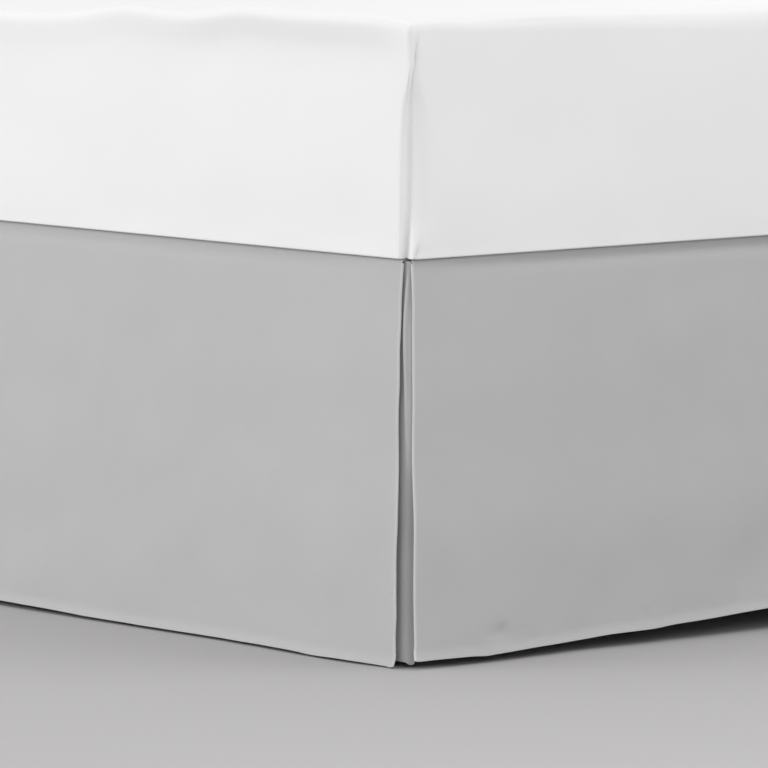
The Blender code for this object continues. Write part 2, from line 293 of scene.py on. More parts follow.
def mark_folds(piece: Piece, folds: Sequence[float], reach: float) -> None:
    """Marks each point of a cloth by how near it lies to a fold, for the painted highlight along
    it.

    Args:
        piece: The cloth, already laid out.
        folds: Where the folds run, in the cloth's own metres along it.
        reach: Metres from a fold to where its mark has faded.
    """
    mesh = piece.data
    # The mark is the mask of the painted highlight along the folds.
    mesh.attributes.new("fold_highlight", "FLOAT", "POINT")
    layer, marks = mesh.uv_layers["cloth"], mesh.attributes["fold_highlight"]
    for loop in mesh.loops:
        place = layer.data[loop.index].uv[0]
        near = min(abs(place - fold) for fold in folds)
        marks.data[loop.vertex_index].value = 1.0 - smoothstep(near / reach)


def add_modifier(piece: Piece, kind: str, **settings: object) -> None:
    """Adds a modifier, sets it and applies it.

    Args:
        piece: The mesh object.
        kind: The modifier's type.
        **settings: Its properties.
    """
    pick(piece)
    modifier = piece.modifiers.new(kind.lower(), kind)
    for key, value in settings.items():
        setattr(modifier, key, value)
    bpy.ops.object.modifier_apply(modifier=modifier.name)


def thicken(piece: Piece, thickness: float) -> None:
    """Gives a sheet its thickness, half on each side, and shades it smooth but for its rim.

    Args:
        piece: The sheet.
        thickness: Its thickness, metres.
    """
    add_modifier(piece, "SOLIDIFY", thickness=thickness, offset=0.0, use_even_offset=True)
    pick(piece)
    bpy.ops.object.shade_smooth_by_angle(angle=SHARP_ANGLE)


@dataclass(frozen=True)
class Grading:
    """Steps of cloth, short at its edges and each a little longer than the last. Metres."""

    first: float
    growth: float
    longest: float

    def along(self, length: float) -> list[float]:
        """Places from 0 to a length, close together at its start.

        Args:
            length: The length, metres.

        Returns:
            The places in order.
        """
        places, step = [0.0], self.first
        while places[-1] + step < length:
            places.append(places[-1] + step)
            step = min(self.longest, step * self.growth)
        return [*places, length]

    def both_ways(self, length: float) -> list[float]:
        """Places from 0 to a length, close together at both its ends."""
        half = self.along(length / 2)
        return half + [length - place for place in half[-2::-1]]


def dress_sheet(
    piece: Piece,
    node: str,
    material: Material,
    flat: tuple[float, float],
) -> Piece:
    """Args:
        piece: The sheet, laid out.
        node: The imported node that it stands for.
        material: The skirt's cloth.
        flat: Its width and length when flat, metres.

    Returns:
        The sheet.
    """
    thicken(piece, CLOTH)
    piece.data.materials.append(material)
    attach(piece, BODY)
    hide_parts(node)
    LOG.info("%s: flat %.3f x %.3f m, %d faces", piece.name, *flat, len(piece.data.polygons))
    return piece


def dress_pad(piece: Piece, node: str, material: Material, fill: float) -> Piece:
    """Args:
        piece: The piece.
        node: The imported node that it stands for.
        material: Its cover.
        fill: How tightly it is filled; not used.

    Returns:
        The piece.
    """
    piece.data.materials.append(material)
    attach(piece, BODY)
    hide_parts(node)
    LOG.info("%s: %d faces", piece.name, len(piece.data.polygons))
    return piece


# ---------------------------------------------------------------- shader helpers


Value = Union["Signal", float]
Key = Union[str, int]


class Signal:
    """A shader value that Python's operators combine through Math nodes."""

    def __init__(self, graph: "Graph", socket: Socket) -> None:
        """Wraps one output socket of a graph."""
        self.graph = graph
        self.socket = socket

    def _join(self, operation: str, first: Value, second: Value) -> "Signal":
        """Combines two values with one Math node."""
        made = self.graph.add("ShaderNodeMath", {"operation": operation}, {0: first, 1: second})
        return self.graph.out(made, "Value")

    def __add__(self, other: Value) -> "Signal":
        """This value plus another."""
        return self._join("ADD", self, other)

    def __radd__(self, other: Value) -> "Signal":
        """Another value plus this one."""
        return self._join("ADD", other, self)

    def __sub__(self, other: Value) -> "Signal":
        """This value less another."""
        return self._join("SUBTRACT", self, other)

    def __rsub__(self, other: Value) -> "Signal":
        """Another value less this one."""
        return self._join("SUBTRACT", other, self)

    def __mul__(self, other: Value) -> "Signal":
        """This value times another."""
        return self._join("MULTIPLY", self, other)

    def __rmul__(self, other: Value) -> "Signal":
        """Another value times this one."""
        return self._join("MULTIPLY", other, self)

    def over(self, other: Value) -> "Signal":
        """1 where this value is over another, 0 elsewhere."""
        return self._join("GREATER_THAN", self, other)

    def wave(self) -> "Signal":
        """The sine of this value, in radians."""
        return self._join("SINE", self, 0.0)

    def size(self) -> "Signal":
        """This value without its sign."""
        return self._join("ABSOLUTE", self, 0.0)


class Graph:
    """A material and the nodes that feed its Principled shader."""

    def __init__(self, name: str) -> None:
        """Makes an empty material.

        Args:
            name: The material's name.
        """
        self.material = bpy.data.materials.new(name)
        self.material.use_nodes = True
        self.tree = self.material.node_tree
        self.shader = self.tree.nodes["Principled BSDF"]

    @staticmethod
    def find(sockets: bpy.types.bpy_prop_collection, key: Key) -> Socket:
        """Finds a socket of a node.

        Args:
            sockets: The node's inputs or outputs.
            key: The socket's number, identifier or name.

        Returns:
            The socket.
        """
        if isinstance(key, int):
            return sockets[key]
        for socket in sockets:
            if socket.identifier == key:
                return socket
        return sockets[key]

    def add(
        self,
        kind: str,
        settings: dict[str, object] | None = None,
        inputs: dict[Key, object] | None = None,
    ) -> bpy.types.Node:
        """Adds one node.

        Args:
            kind: The node's type.
            settings: Its properties, which are set first. "stops" are a ramp's.
            inputs: Values or links of its sockets.

        Returns:
            The new node.
        """
        node = self.tree.nodes.new(kind)
        for key, value in (settings or {}).items():
            if key == "stops":
                self._set_stops(node.color_ramp, value)
            else:
                setattr(node, key, value)
        for key, value in (inputs or {}).items():
            self.feed(self.find(node.inputs, key), value)
        return node

    @staticmethod
    def _set_stops(ramp: bpy.types.ColorRamp, stops: Sequence[tuple[float, float]]) -> None:
        """Sets a ramp's grey stops.

        Args:
            ramp: The ramp.
            stops: The place and grey of each, 0 to 1.
        """
        for index, (position, grey) in enumerate(stops):
            if index >= len(ramp.elements):
                ramp.elements.new(position)
            ramp.elements[index].position = position
            ramp.elements[index].color = (grey, grey, grey, 1.0)

    def feed(self, socket: Socket, value: object) -> None:
        """Links a value to a socket, or sets it there if it is a constant.

        Args:
            socket: The input.
            value: A signal, an output or a constant.
        """
        if isinstance(value, Signal):
            self.tree.links.new(value.socket, socket)
        elif isinstance(value, Socket):
            self.tree.links.new(value, socket)
        else:
            socket.default_value = value

    def out(self, node: bpy.types.Node, key: Key) -> Signal:
        """An output of a node as a signal."""
        return Signal(self, self.find(node.outputs, key))

    def cloth_place(self) -> tuple[Signal, Signal, Socket]:
        """Reads where a point lies on its flat cloth.

        Returns:
            The metres along and across the cloth, and both as a vector.
        """
        mapped = self.add("ShaderNodeUVMap", {"uv_map": "cloth"})
        split = self.add("ShaderNodeSeparateXYZ", None, {0: mapped.outputs["UV"]})
        return self.out(split, "X"), self.out(split, "Y"), mapped.outputs["UV"]

    def object_place(self) -> Socket:
        """The place in the bed's own metres, as a vector."""
        return self.add("ShaderNodeTexCoord").outputs["Object"]

    def tint(self, under: RGB | Socket, over: RGB, share: Value) -> Socket:
        """Lays a colour over another.

        Args:
            under: The lower colour.
            over: The upper one.
            share: How far the upper one covers, 0 to 1.

        Returns:
            The colour.
        """
        start = (*under, 1.0) if isinstance(under, tuple) else under
        made = self.add(
            "ShaderNodeMix",
            {"data_type": "RGBA", "clamp_factor": True},
            {"Factor_Float": share, "A_Color": start, "B_Color": (*over, 1.0)},
        )
        return self.find(made.outputs, "Result_Color")

    def mark(self, name: str) -> Signal:
        """A share that is kept at each point of a mesh, and is 0 where the mesh has none."""
        return self.out(self.add("ShaderNodeAttribute", {"attribute_name": name}), "Fac")

    def relief(self, height: Signal, depth: float, over: object = None) -> Socket:
        """A bump.

        Args:
            height: Its height, 0 to 1.
            depth: What a height of 1 measures, metres.
            over: The normal of a coarser bump that this one lies on.

        Returns:
            The bumped normal.
        """
        inputs: dict[Key, object] = {"Distance": depth, "Height": height}
        if over is not None:
            inputs["Normal"] = over
        return self.add("ShaderNodeBump", None, inputs).outputs["Normal"]

    def finish(
        self,
        colour: Socket,
        roughness: Value,
        normal: Socket,
        **constants: float,
    ) -> Material:
        """Feeds the shader.

        Args:
            colour: The base colour.
            roughness: The roughness.
            normal: The bumped normal.
            **constants: Values set on the shader's own sockets, by name with _ for a space.

        Returns:
            The material.
        """
        self.feed(self.shader.inputs["Base Color"], colour)
        self.feed(self.shader.inputs["Roughness"], roughness)
        self.feed(self.shader.inputs["Normal"], normal)
        for key, value in constants.items():
            self.shader.inputs[key.replace("_", " ")].default_value = value
        return self.material


def shade(colour: RGB, factor: float) -> RGB:
    """A colour made lighter or darker."""
    return tuple(channel * factor for channel in colour)


# ---------------------------------------------------------------- finishes


class Weave(Enum):
    """How a cloth is woven."""

    PLAIN = "plain"
    TWILL = "twill"


@dataclass(frozen=True)
class Patches:
    """Soft patches in a finish: the metres of one, and how many finer layers lie over it."""

    size: float
    detail: float
    roughness: float = 0.5

    def on(self, graph: Graph, place: Socket) -> Signal:
        """Makes the patches over a surface.

        Args:
            graph: The material's graph.
            place: The place on the surface, metres.

        Returns:
            The pattern, 0 to 1.
        """
        kept = {"Detail": self.detail, "Roughness": self.roughness}
        inputs = {"Vector": place, "Scale": 1.0 / self.size, **kept}
        return graph.out(graph.add("ShaderNodeTexNoise", {"noise_dimensions": "3D"}, inputs), "Fac")


@dataclass(frozen=True)
class WovenCloth:
    """A woven cloth: its yarns, slubs, soft patches and sheen.

    pitch is the metres from yarn to yarn, relief the depth between yarns, mottle how much the
    shade wanders over a hand's width, rumple the depth of its soft rumples, and sheen the fuzz
    that catches light. fold_highlight is a painted highlight: how much lighter the colour is
    made along a fold, where the fold's rounded edge catches light.
    """

    name: str
    colour: RGB
    weave: Weave
    pitch: float
    relief: float
    mottle: float
    roughness: float
    sheen: float
    rumple: float
    # Painted highlight: how much lighter the colour is made along the folds.
    fold_highlight: float = 1.0

    WANDER = Patches(0.012, 1.0)
    SLUB = Patches(0.030, 3.0)
    BROAD = Patches(0.090, 2.0)
    RUMPLES = Patches(0.022, 2.0)
    FINE = Patches(0.0016, 1.0)
    YARN_WANDER = 0.6  # of a pitch
    SLUB_STRETCH = (1.0, 9.0, 1.0)
    SLUB_RELIEF = 1.2  # of the yarns' relief
    SHADE_SHARES = (0.55, 0.25, 0.20)  # broad, slub, fine
    SHADE_SWING = 2.2  # times the mottle
    RIB_SHARE = 0.8
    YARN_DIP = 0.35  # how far a yarn dips between its crests
    FINE_GLOSS = 0.10
    SHEEN_ROUGHNESS = 0.45
    SPECULAR = 0.25

    def yarn_height(self, along: Signal, across: Signal) -> Signal:
        """Weaves the yarns, one over one under one or in a diagonal rib.

        Args:
            along: Metres along the cloth.
            across: Metres across it.

        Returns:
            The height of the yarns, 0 to 1.
        """
        turn = math.pi / self.pitch
        if self.weave is Weave.TWILL:
            rib = ((along + across) * turn).wave().size()
            return rib * self.RIB_SHARE + (along * turn * 2.0).wave().size() * (1 - self.RIB_SHARE)
        warp, weft = (along * turn).wave(), (across * turn).wave()
        over = (warp * weft).over(0.0)
        raised = warp.size() * (weft.size() * self.YARN_DIP + (1 - self.YARN_DIP))
        sunk = weft.size() * (warp.size() * self.YARN_DIP + (1 - self.YARN_DIP))
        return raised * over + sunk * (1.0 - over)

    def make(self) -> Material:
        """Builds the material.

        Returns:
            The material.
        """
        graph = Graph(self.name)
        along, across, place = graph.cloth_place()
        wander = self.WANDER.on(graph, place)
        yarns = self.yarn_height(along + wander * (self.YARN_WANDER * self.pitch), across)
        stretch = graph.add(
            "ShaderNodeVectorMath", {"operation": "MULTIPLY"}, {0: place, 1: self.SLUB_STRETCH}
        ).outputs["Vector"]
        slub = self.SLUB.on(graph, stretch)
        broad = self.BROAD.on(graph, place)
        fine = self.FINE.on(graph, place)
        by_broad, by_slub, by_fine = self.SHADE_SHARES
        swing = self.SHADE_SWING * self.mottle
        colour = graph.tint(
            shade(self.colour, 1.0 - swing),
            shade(self.colour, 1.0 + swing),
            broad * by_broad + slub * by_slub + fine * by_fine,
        )
        # Painted highlight: the colour is made lighter along each fold, where its rounded edge
        # catches light.
        colour = graph.tint(colour, shade(self.colour, self.fold_highlight), graph.mark("fold_highlight"))
        rumples = broad * 0.5 + self.RUMPLES.on(graph, place) * 0.5
        soft = graph.relief(rumples, self.rumple)
        slubs = graph.relief(slub, self.relief * self.SLUB_RELIEF, soft)
        return graph.finish(
            colour,
            fine * self.FINE_GLOSS + (self.roughness - self.FINE_GLOSS / 2),
            graph.relief(yarns, self.relief, slubs),
            Sheen_Weight=self.sheen,
            Sheen_Roughness=self.SHEEN_ROUGHNESS,
            Specular_IOR_Level=self.SPECULAR,
        )


@dataclass(frozen=True)
class HardFinish:
    """A hard surface: patches of a second shade, uneven gloss and a fine grain.

    ramp is where the patches start and are full, and most how far they then cover. roughness
    has a lowest value and a swing over the gloss patches. grain_depth is in metres.
    """

    name: str
    colour: RGB
    second: RGB
    patches: Patches
    ramp: tuple[float, float]
    most: float
    gloss: Patches
    roughness: tuple[float, float]
    grain: Patches
    grain_depth: float
    specular: float

    def make(self) -> Material:
        """Builds the material.

        Returns:
            The material.
        """
        graph = Graph(self.name)
        place = graph.object_place()
        start, full = self.ramp
        worn = graph.add(
            "ShaderNodeValToRGB",
            {"stops": ((start, 0.0), (full, 1.0))},
            {"Fac": self.patches.on(graph, place)},
        )
        colour = graph.tint(self.colour, self.second, graph.out(worn, "Color") * self.most)
        lowest, swing = self.roughness
        rough = self.gloss.on(graph, place) * swing + lowest
        grain = graph.relief(self.grain.on(graph, place), self.grain_depth)
        return graph.finish(colour, rough, grain, Specular_IOR_Level=self.specular)


SKIRT_CLOTH = WovenCloth(
    name="skirt_cloth",
    colour=(0.515, 0.515, 0.520),
    weave=Weave.PLAIN,
    pitch=0.00045,
    relief=0.000035,
    mottle=0.016,
    roughness=0.86,
    sheen=0.06,
    rumple=0.00020,
    # Painted highlight: the skirt cloth is made lighter along its folds.
    fold_highlight=1.28,
)
FITTED_SHEET = WovenCloth(
    name="fitted_sheet",
    colour=(0.885, 0.885, 0.891),
    weave=Weave.PLAIN,
    pitch=0.00036,
    relief=0.000025,
    mottle=0.004,
    roughness=0.84,
    sheen=0.05,
    rumple=0.00015,
)
BOX_TICKING = WovenCloth(
    name="box_ticking",
    colour=(0.620, 0.610, 0.580),
    weave=Weave.TWILL,
    pitch=0.00090,
    relief=0.000080,
    mottle=0.020,
    roughness=0.88,
    sheen=0.05,
    rumple=0.00040,
)
PAINTED_STEEL = HardFinish(
    name="painted_steel",
    colour=(0.045, 0.045, 0.048),
    second=(0.110, 0.108, 0.105),
    patches=Patches(0.035, 6.0),
    ramp=(0.66, 0.74),
    most=0.7,
    gloss=Patches(0.020, 3.0),
    roughness=(0.38, 0.16),
    grain=Patches(0.0014, 1.0),
    grain_depth=0.00005,
    specular=0.5,
)
GLIDE_PLASTIC = HardFinish(
    name="glide_plastic",
    colour=(0.030, 0.030, 0.030),
    second=(0.066, 0.066, 0.066),
    patches=Patches(0.010, 4.0),
    ramp=(0.0, 1.0),
    most=0.6,
    gloss=Patches(0.010, 4.0),
    roughness=(0.45, 0.2),
    grain=Patches(0.0006, 2.0),
    grain_depth=0.00003,
    specular=0.45,
)
FLOOR = HardFinish(
    name="studio_floor",
    colour=(0.4728, 0.46295, 0.46492),
    second=(0.4872, 0.47705, 0.47908),
    patches=Patches(0.8, 3.0),
    ramp=(0.0, 1.0),
    most=1.0,
    gloss=Patches(0.8, 3.0),
    roughness=(0.75, 0.0),
    grain=Patches(0.004, 2.0),
    grain_depth=0.00004,
    specular=0.2,
)


# ---------------------------------------------------------------- the bed


@dataclass(frozen=True)
class Bed:
    """Where the bed's faces stand, in metres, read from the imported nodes."""

    half_x: float
    half_y: float
    mattress_bottom: float
    mattress_top: float
    deck_z: float
    drop_top: float
    head: float

    @classmethod
    def from_frame(cls) -> "Bed":
        """Reads the mattress, the deck, a drop and the box spring.

        Returns:
            The bed.
        """
        low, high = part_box("mattress")
        deck_low, deck_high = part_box("deck")
        drop_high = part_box("drop_foot")[1]
        return cls(
            half_x=high.x,
            half_y=high.y,
            mattress_bottom=low.z,
            mattress_top=high.z,
            deck_z=(deck_low.z + deck_high.z) / 2,
            drop_top=drop_high.z - SOLID_CLOTH / 2,
            head=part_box("box_spring")[1].y,
        )

    @property
    def face_x(self) -> float:
        """The side drops' outer face."""
        return self.half_x - OVERHANG

    @property
    def face_y(self) -> float:
        """The foot drop's outer face."""
        return self.half_y - OVERHANG


class Side(Enum):
    """A side of the bed that a drop hangs on."""

    LEFT = "left"
    RIGHT = "right"
    FOOT = "foot"

    def place(self, bed: Bed, along: float, out: float, z: float) -> Vector:
        """Turns a place on a drop into a world point.

        Args:
            bed: The bed's faces.
            along: Metres along the drop from its foot corner, or from the foot left one.
            out: Metres out from the middle of the cloth.
            z: Height.

        Returns:
            The world point.
        """
        if self is Side.FOOT:
            return Vector((along - bed.face_x, SOLID_CLOTH / 2 - bed.face_y - out, z))
        sign = -1.0 if self is Side.LEFT else 1.0
        return Vector((sign * (bed.face_x - SOLID_CLOTH / 2 + out), along - bed.face_y, z))


# ---------------------------------------------------------------- drops


class Part(Enum):
    """The part of a drop that a column of cloth is in."""

    NEAR_TURN = "near turn"
    FACE = "face"
    FAR_TURN = "far turn"


@dataclass(frozen=True)
class Column:
    """A line of cloth from top to hem.

    at is metres in from its fold, or on the face a share of it. behind is metres behind the
    face, and cloth metres along the flat cloth.
    """

    part: Part
    at: float
    behind: float
    cloth: float


@dataclass(frozen=True)
class Row:
    """A line of cloth along a drop.

    On the top border, inset is metres in from the face and below metres under its level. On
    the wall, fall is the share from the bend to the hem's band, and inside the band lift is
    metres over the hem.
    """

    cloth: float
    inset: float = 0.0
    below: float = 0.0
    fall: float | None = None
    lift: float | None = None


@dataclass
class SkirtDrop:
    """One flat drop with its top border, hem and turned-back edges."""

    node: str
    side: Side
    length: float
    edges: tuple[Profile, Profile]
    far_turned: bool
    hem: Profile
    folds: tuple[Crease, ...]
    creases: tuple[Crease, ...]
    corner_forms: tuple["CornerForm", "CornerForm"]
    layer: float
    border: float = 0.040
    turn: float = 0.040
    fold_radius: float = 0.0009
    fold_reach: float = 0.0030
    flare: float = 0.004
    mitre: float = 0.0015
    band: float = 0.030
    kick: float = 0.0022
    kick_height: float = 0.0100
    lip: float = 0.0006
    lip_height: float = 0.0035
    held_height: float = 0.060
    tuck_height: float = 0.014
    pick_height: float = 0.021
    pick_reach: float = 0.018

    TUCK_IN = Profile.mm((0, 0), (45, 0.9), (80, 2.8), (118, 3.2), (150, 4.8))
    BROAD = Uneven(0.085, 0.0026)
    NARROW = Uneven(0.034, 0.0010, 7.0, 0.6)
    PUCKERS = Uneven(0.011, 0.00045, 13.0, 0.5)
    TURN_SHARES = (0.0, 0.25, 0.5, 0.7, 0.85, 0.94, 1.0)
    BORDER_SHARES = (0.0, 0.3, 0.6, 0.8)
    FOLD_STEPS = 8
    BEND_STEPS = 6
    FACE = Grading(0.0011, 1.22, 0.0065)
    WALL = Grading(0.003, 1.3, 0.0078)
    BAND = Grading(0.0005, 1.35, 0.0024)
    SETTLINGS = 3  # rounds that settle a point whose edge, hem and height depend on each other

    def columns(self) -> list[Column]:
        """Lines of cloth from one turned edge to the other.

        Returns:
            The columns in order.
        """
        radius, arc = self.fold_radius, math.pi * self.fold_radius
        turned = [
            (radius + self.turn * (1.0 - share), 2 * radius, self.turn * share)
            for share in self.TURN_SHARES
        ]
        for step in range(1, self.FOLD_STEPS):
            share = step / self.FOLD_STEPS
            angle = math.pi * share
            at, behind = radius * (1 - math.sin(angle)), radius * (1 + math.cos(angle))
            turned.append((at, behind, self.turn + arc * share))
        start = self.turn + arc
        columns = [Column(Part.NEAR_TURN, *row) for row in turned]
        for place in self.FACE.both_ways(self.length):
            columns.append(Column(Part.FACE, place / self.length, 0.0, start + place))
        if self.far_turned:
            total = 2 * start + self.length
            for at, behind, cloth in reversed(turned):
                columns.append(Column(Part.FAR_TURN, at, behind, total - cloth))
        return columns

    def rows(self, wall: float) -> list[Row]:
        """The drop's rows, from the inside of its top border to its hem.

        Args:
            wall: Metres from the bend to the hem, about the middle of the drop.

        Returns:
            The rows in order.
        """
        rows = []
        for share in self.BORDER_SHARES:
            rows.append(Row(self.border * share, inset=BEND_RADIUS + self.border * (1 - share)))
        for step in range(self.BEND_STEPS + 1):
            angle = math.pi / 2 * step / self.BEND_STEPS
            inset, below = BEND_RADIUS * (1 - math.sin(angle)), BEND_RADIUS * (1 - math.cos(angle))
            rows.append(Row(self.border + BEND_RADIUS * angle, inset=inset, below=below))
        start = self.border + BEND_RADIUS * math.pi / 2
        upper = wall - self.band
        for place in self.WALL.along(upper)[1:]:
            rows.append(Row(start + place, fall=place / upper))
        for place in reversed(self.BAND.along(self.band)[:-1]):
            rows.append(Row(start + wall - place, lift=place))
        return rows

    def corner(self, edge: int, along: float, inset: float, height: float) -> float:
        """Where a folded edge stands from its corner. The top border is mitred."""
        stand = self.edges[edge].at(height)
        return max(stand, inset + self.mitre) if inset > 0 and along >= 0 else stand

    def tucked(self, along: float, below: float) -> float:
        """How far the cloth goes in under the mattress, below metres under its bend."""
        from_end = max(0.0, min(along, self.length - along))
        return self.TUCK_IN.at(from_end) * (1 - smoothstep(below / self.tuck_height))

    def form(self, bed: Bed, along: float, z: float, hem: float) -> float:
        """How far the hanging cloth stands out from its flat plane.

        Args:
            bed: The bed's faces.
            along: Metres along the drop.
            z: Height.
            hem: The hem's height there.

        Returns:
            Metres out.
        """
        top = bed.drop_top - BEND_RADIUS
        share = min(1.0, max(0.0, (top - z) / (top - hem)))
        loose = smoothstep((top - z) / self.held_height)
        lift = max(0.0, z - hem)
        far = self.length - along - self.edges[1].at(z)
        out = share * self.flare + smoothstep(share) * creases_at(self.folds, along, 0.0)
        out += loose * creases_at(self.creases, along, z)
        out += self.corner_forms[0].at(along - self.edges[0].at(z), z) * loose
        out += self.corner_forms[1].at(far, z) * loose
        out += self.kick * swell(lift / self.kick_height) + self.lip * swell(lift / self.lip_height)
        wander = self.BROAD.at(along, z, self.layer) + self.NARROW.at(along, z, self.layer)
        near_hem = swell((lift - self.pick_height) / self.pick_reach)
        wander += self.PUCKERS.at(along, lift, self.layer) * near_hem
        return out + loose * wander

    def point(self, bed: Bed, column: Column, row: Row) -> Vector:
        """Places one point of the drop.

        Args:
            bed: The bed's faces.
            column: Its column.
            row: Its row.

        Returns:
            The world point.
        """
        level = bed.drop_top - row.below
        top = bed.drop_top - BEND_RADIUS
        guess = level if row.fall is None and row.lift is None else None
        along = 0.0
        z = guess if guess is not None else top
        for _ in range(self.SETTLINGS):
            start = self.corner(0, along, row.inset, z)
            end = self.length - self.corner(1, along, row.inset, z)
            if column.part is Part.NEAR_TURN:
                along = start + column.at
            elif column.part is Part.FAR_TURN:
                along = end - column.at
            else:
                last = end - (self.fold_radius if self.far_turned else 0.0)
                along = mix(start + self.fold_radius, last, column.at)
            if guess is None:
                hem = self.hem.at(along)
                if row.lift is not None:
                    z = hem + row.lift
                else:
                    z = mix(top, hem + self.band, row.fall)
        out = -row.inset - column.behind
        if guess is None:
            out += self.form(bed, along, z, self.hem.at(along)) - self.tucked(along, top - z)
        else:
            out -= self.tucked(along, 0.0)
        return self.side.place(bed, along, out, z)

    def build(self, bed: Bed, material: Material) -> Piece:
        """Makes the drop as one sheet of cloth.

        Args:
            bed: The bed's faces.
            material: The skirt's cloth.

        Returns:
            The drop.
        """
        wall = bed.drop_top - BEND_RADIUS - self.hem.at(self.length / 2)
        columns, rows = self.columns(), self.rows(wall)
        across, down = len(columns) - 1, len(rows) - 1
        piece = add_lattice(f"skirt_{self.node}", across, down)
        first_wall = next(i for i, row in enumerate(rows) if row.fall is not None) - 1
        turned = [column.part is not Part.FACE for column in columns]

        def hidden_cell(middle: Vector) -> bool:
            """Says whether a turned edge would run up into the top border here.

            Args:
                middle: The middle of a cell of the lattice.

            Returns:
                Whether the cell goes.
            """
            column = math.floor((middle.x + 0.5) * across)
            row = math.floor((middle.y + 0.5) * down)
            return (turned[column] or turned[column + 1]) and row < first_wall

        delete_faces(piece, hidden_cell)
        lay_out(
            piece,
            across,
            down,
            lambda c, r: self.point(bed, columns[c], rows[r]),
            lambda c, r: (columns[c].cloth, rows[r].cloth),
        )
        # Marks the folded edges for the painted highlight in the cloth's colour.
        fold = self.turn + self.fold_radius * math.pi / 2
        far_fold = [columns[-1].cloth - fold] if self.far_turned else []
        mark_folds(piece, [fold, *far_fold], self.fold_reach)
        return dress_sheet(piece, self.node, material, (columns[-1].cloth, rows[-1].cloth))


@dataclass(frozen=True)
class CornerForm:
    """How a drop turns towards the corner and how its folded edge curls, in metres.

    swell_out is how far the cloth stands out at crest, beside the corner, and curl how far the
    edge itself stands out again, over curl_width, in the lower part of the drop.
    """

    crest: float
    reach: float
    swell_out: Profile
    curl_width: float
    curl: Profile

    def at(self, inward: float, height: float) -> float:
        """How far out the cloth stands.

        Args:
            inward: Metres in from its folded edge.
            height: Metres over the floor.

        Returns:
            The metres out.
        """
        if inward > self.reach:
            return 0.0
        if inward > self.crest:
            rise = 1 - smoothstep((inward - self.crest) / (self.reach - self.crest))
        else:
            rise = smoothstep(max(0.0, inward) / self.crest)
        edge = swell(max(0.0, inward) / self.curl_width)
        return self.swell_out.at(height) * rise + self.curl.at(height) * edge


# ---------------------------------------------------------------- underlays


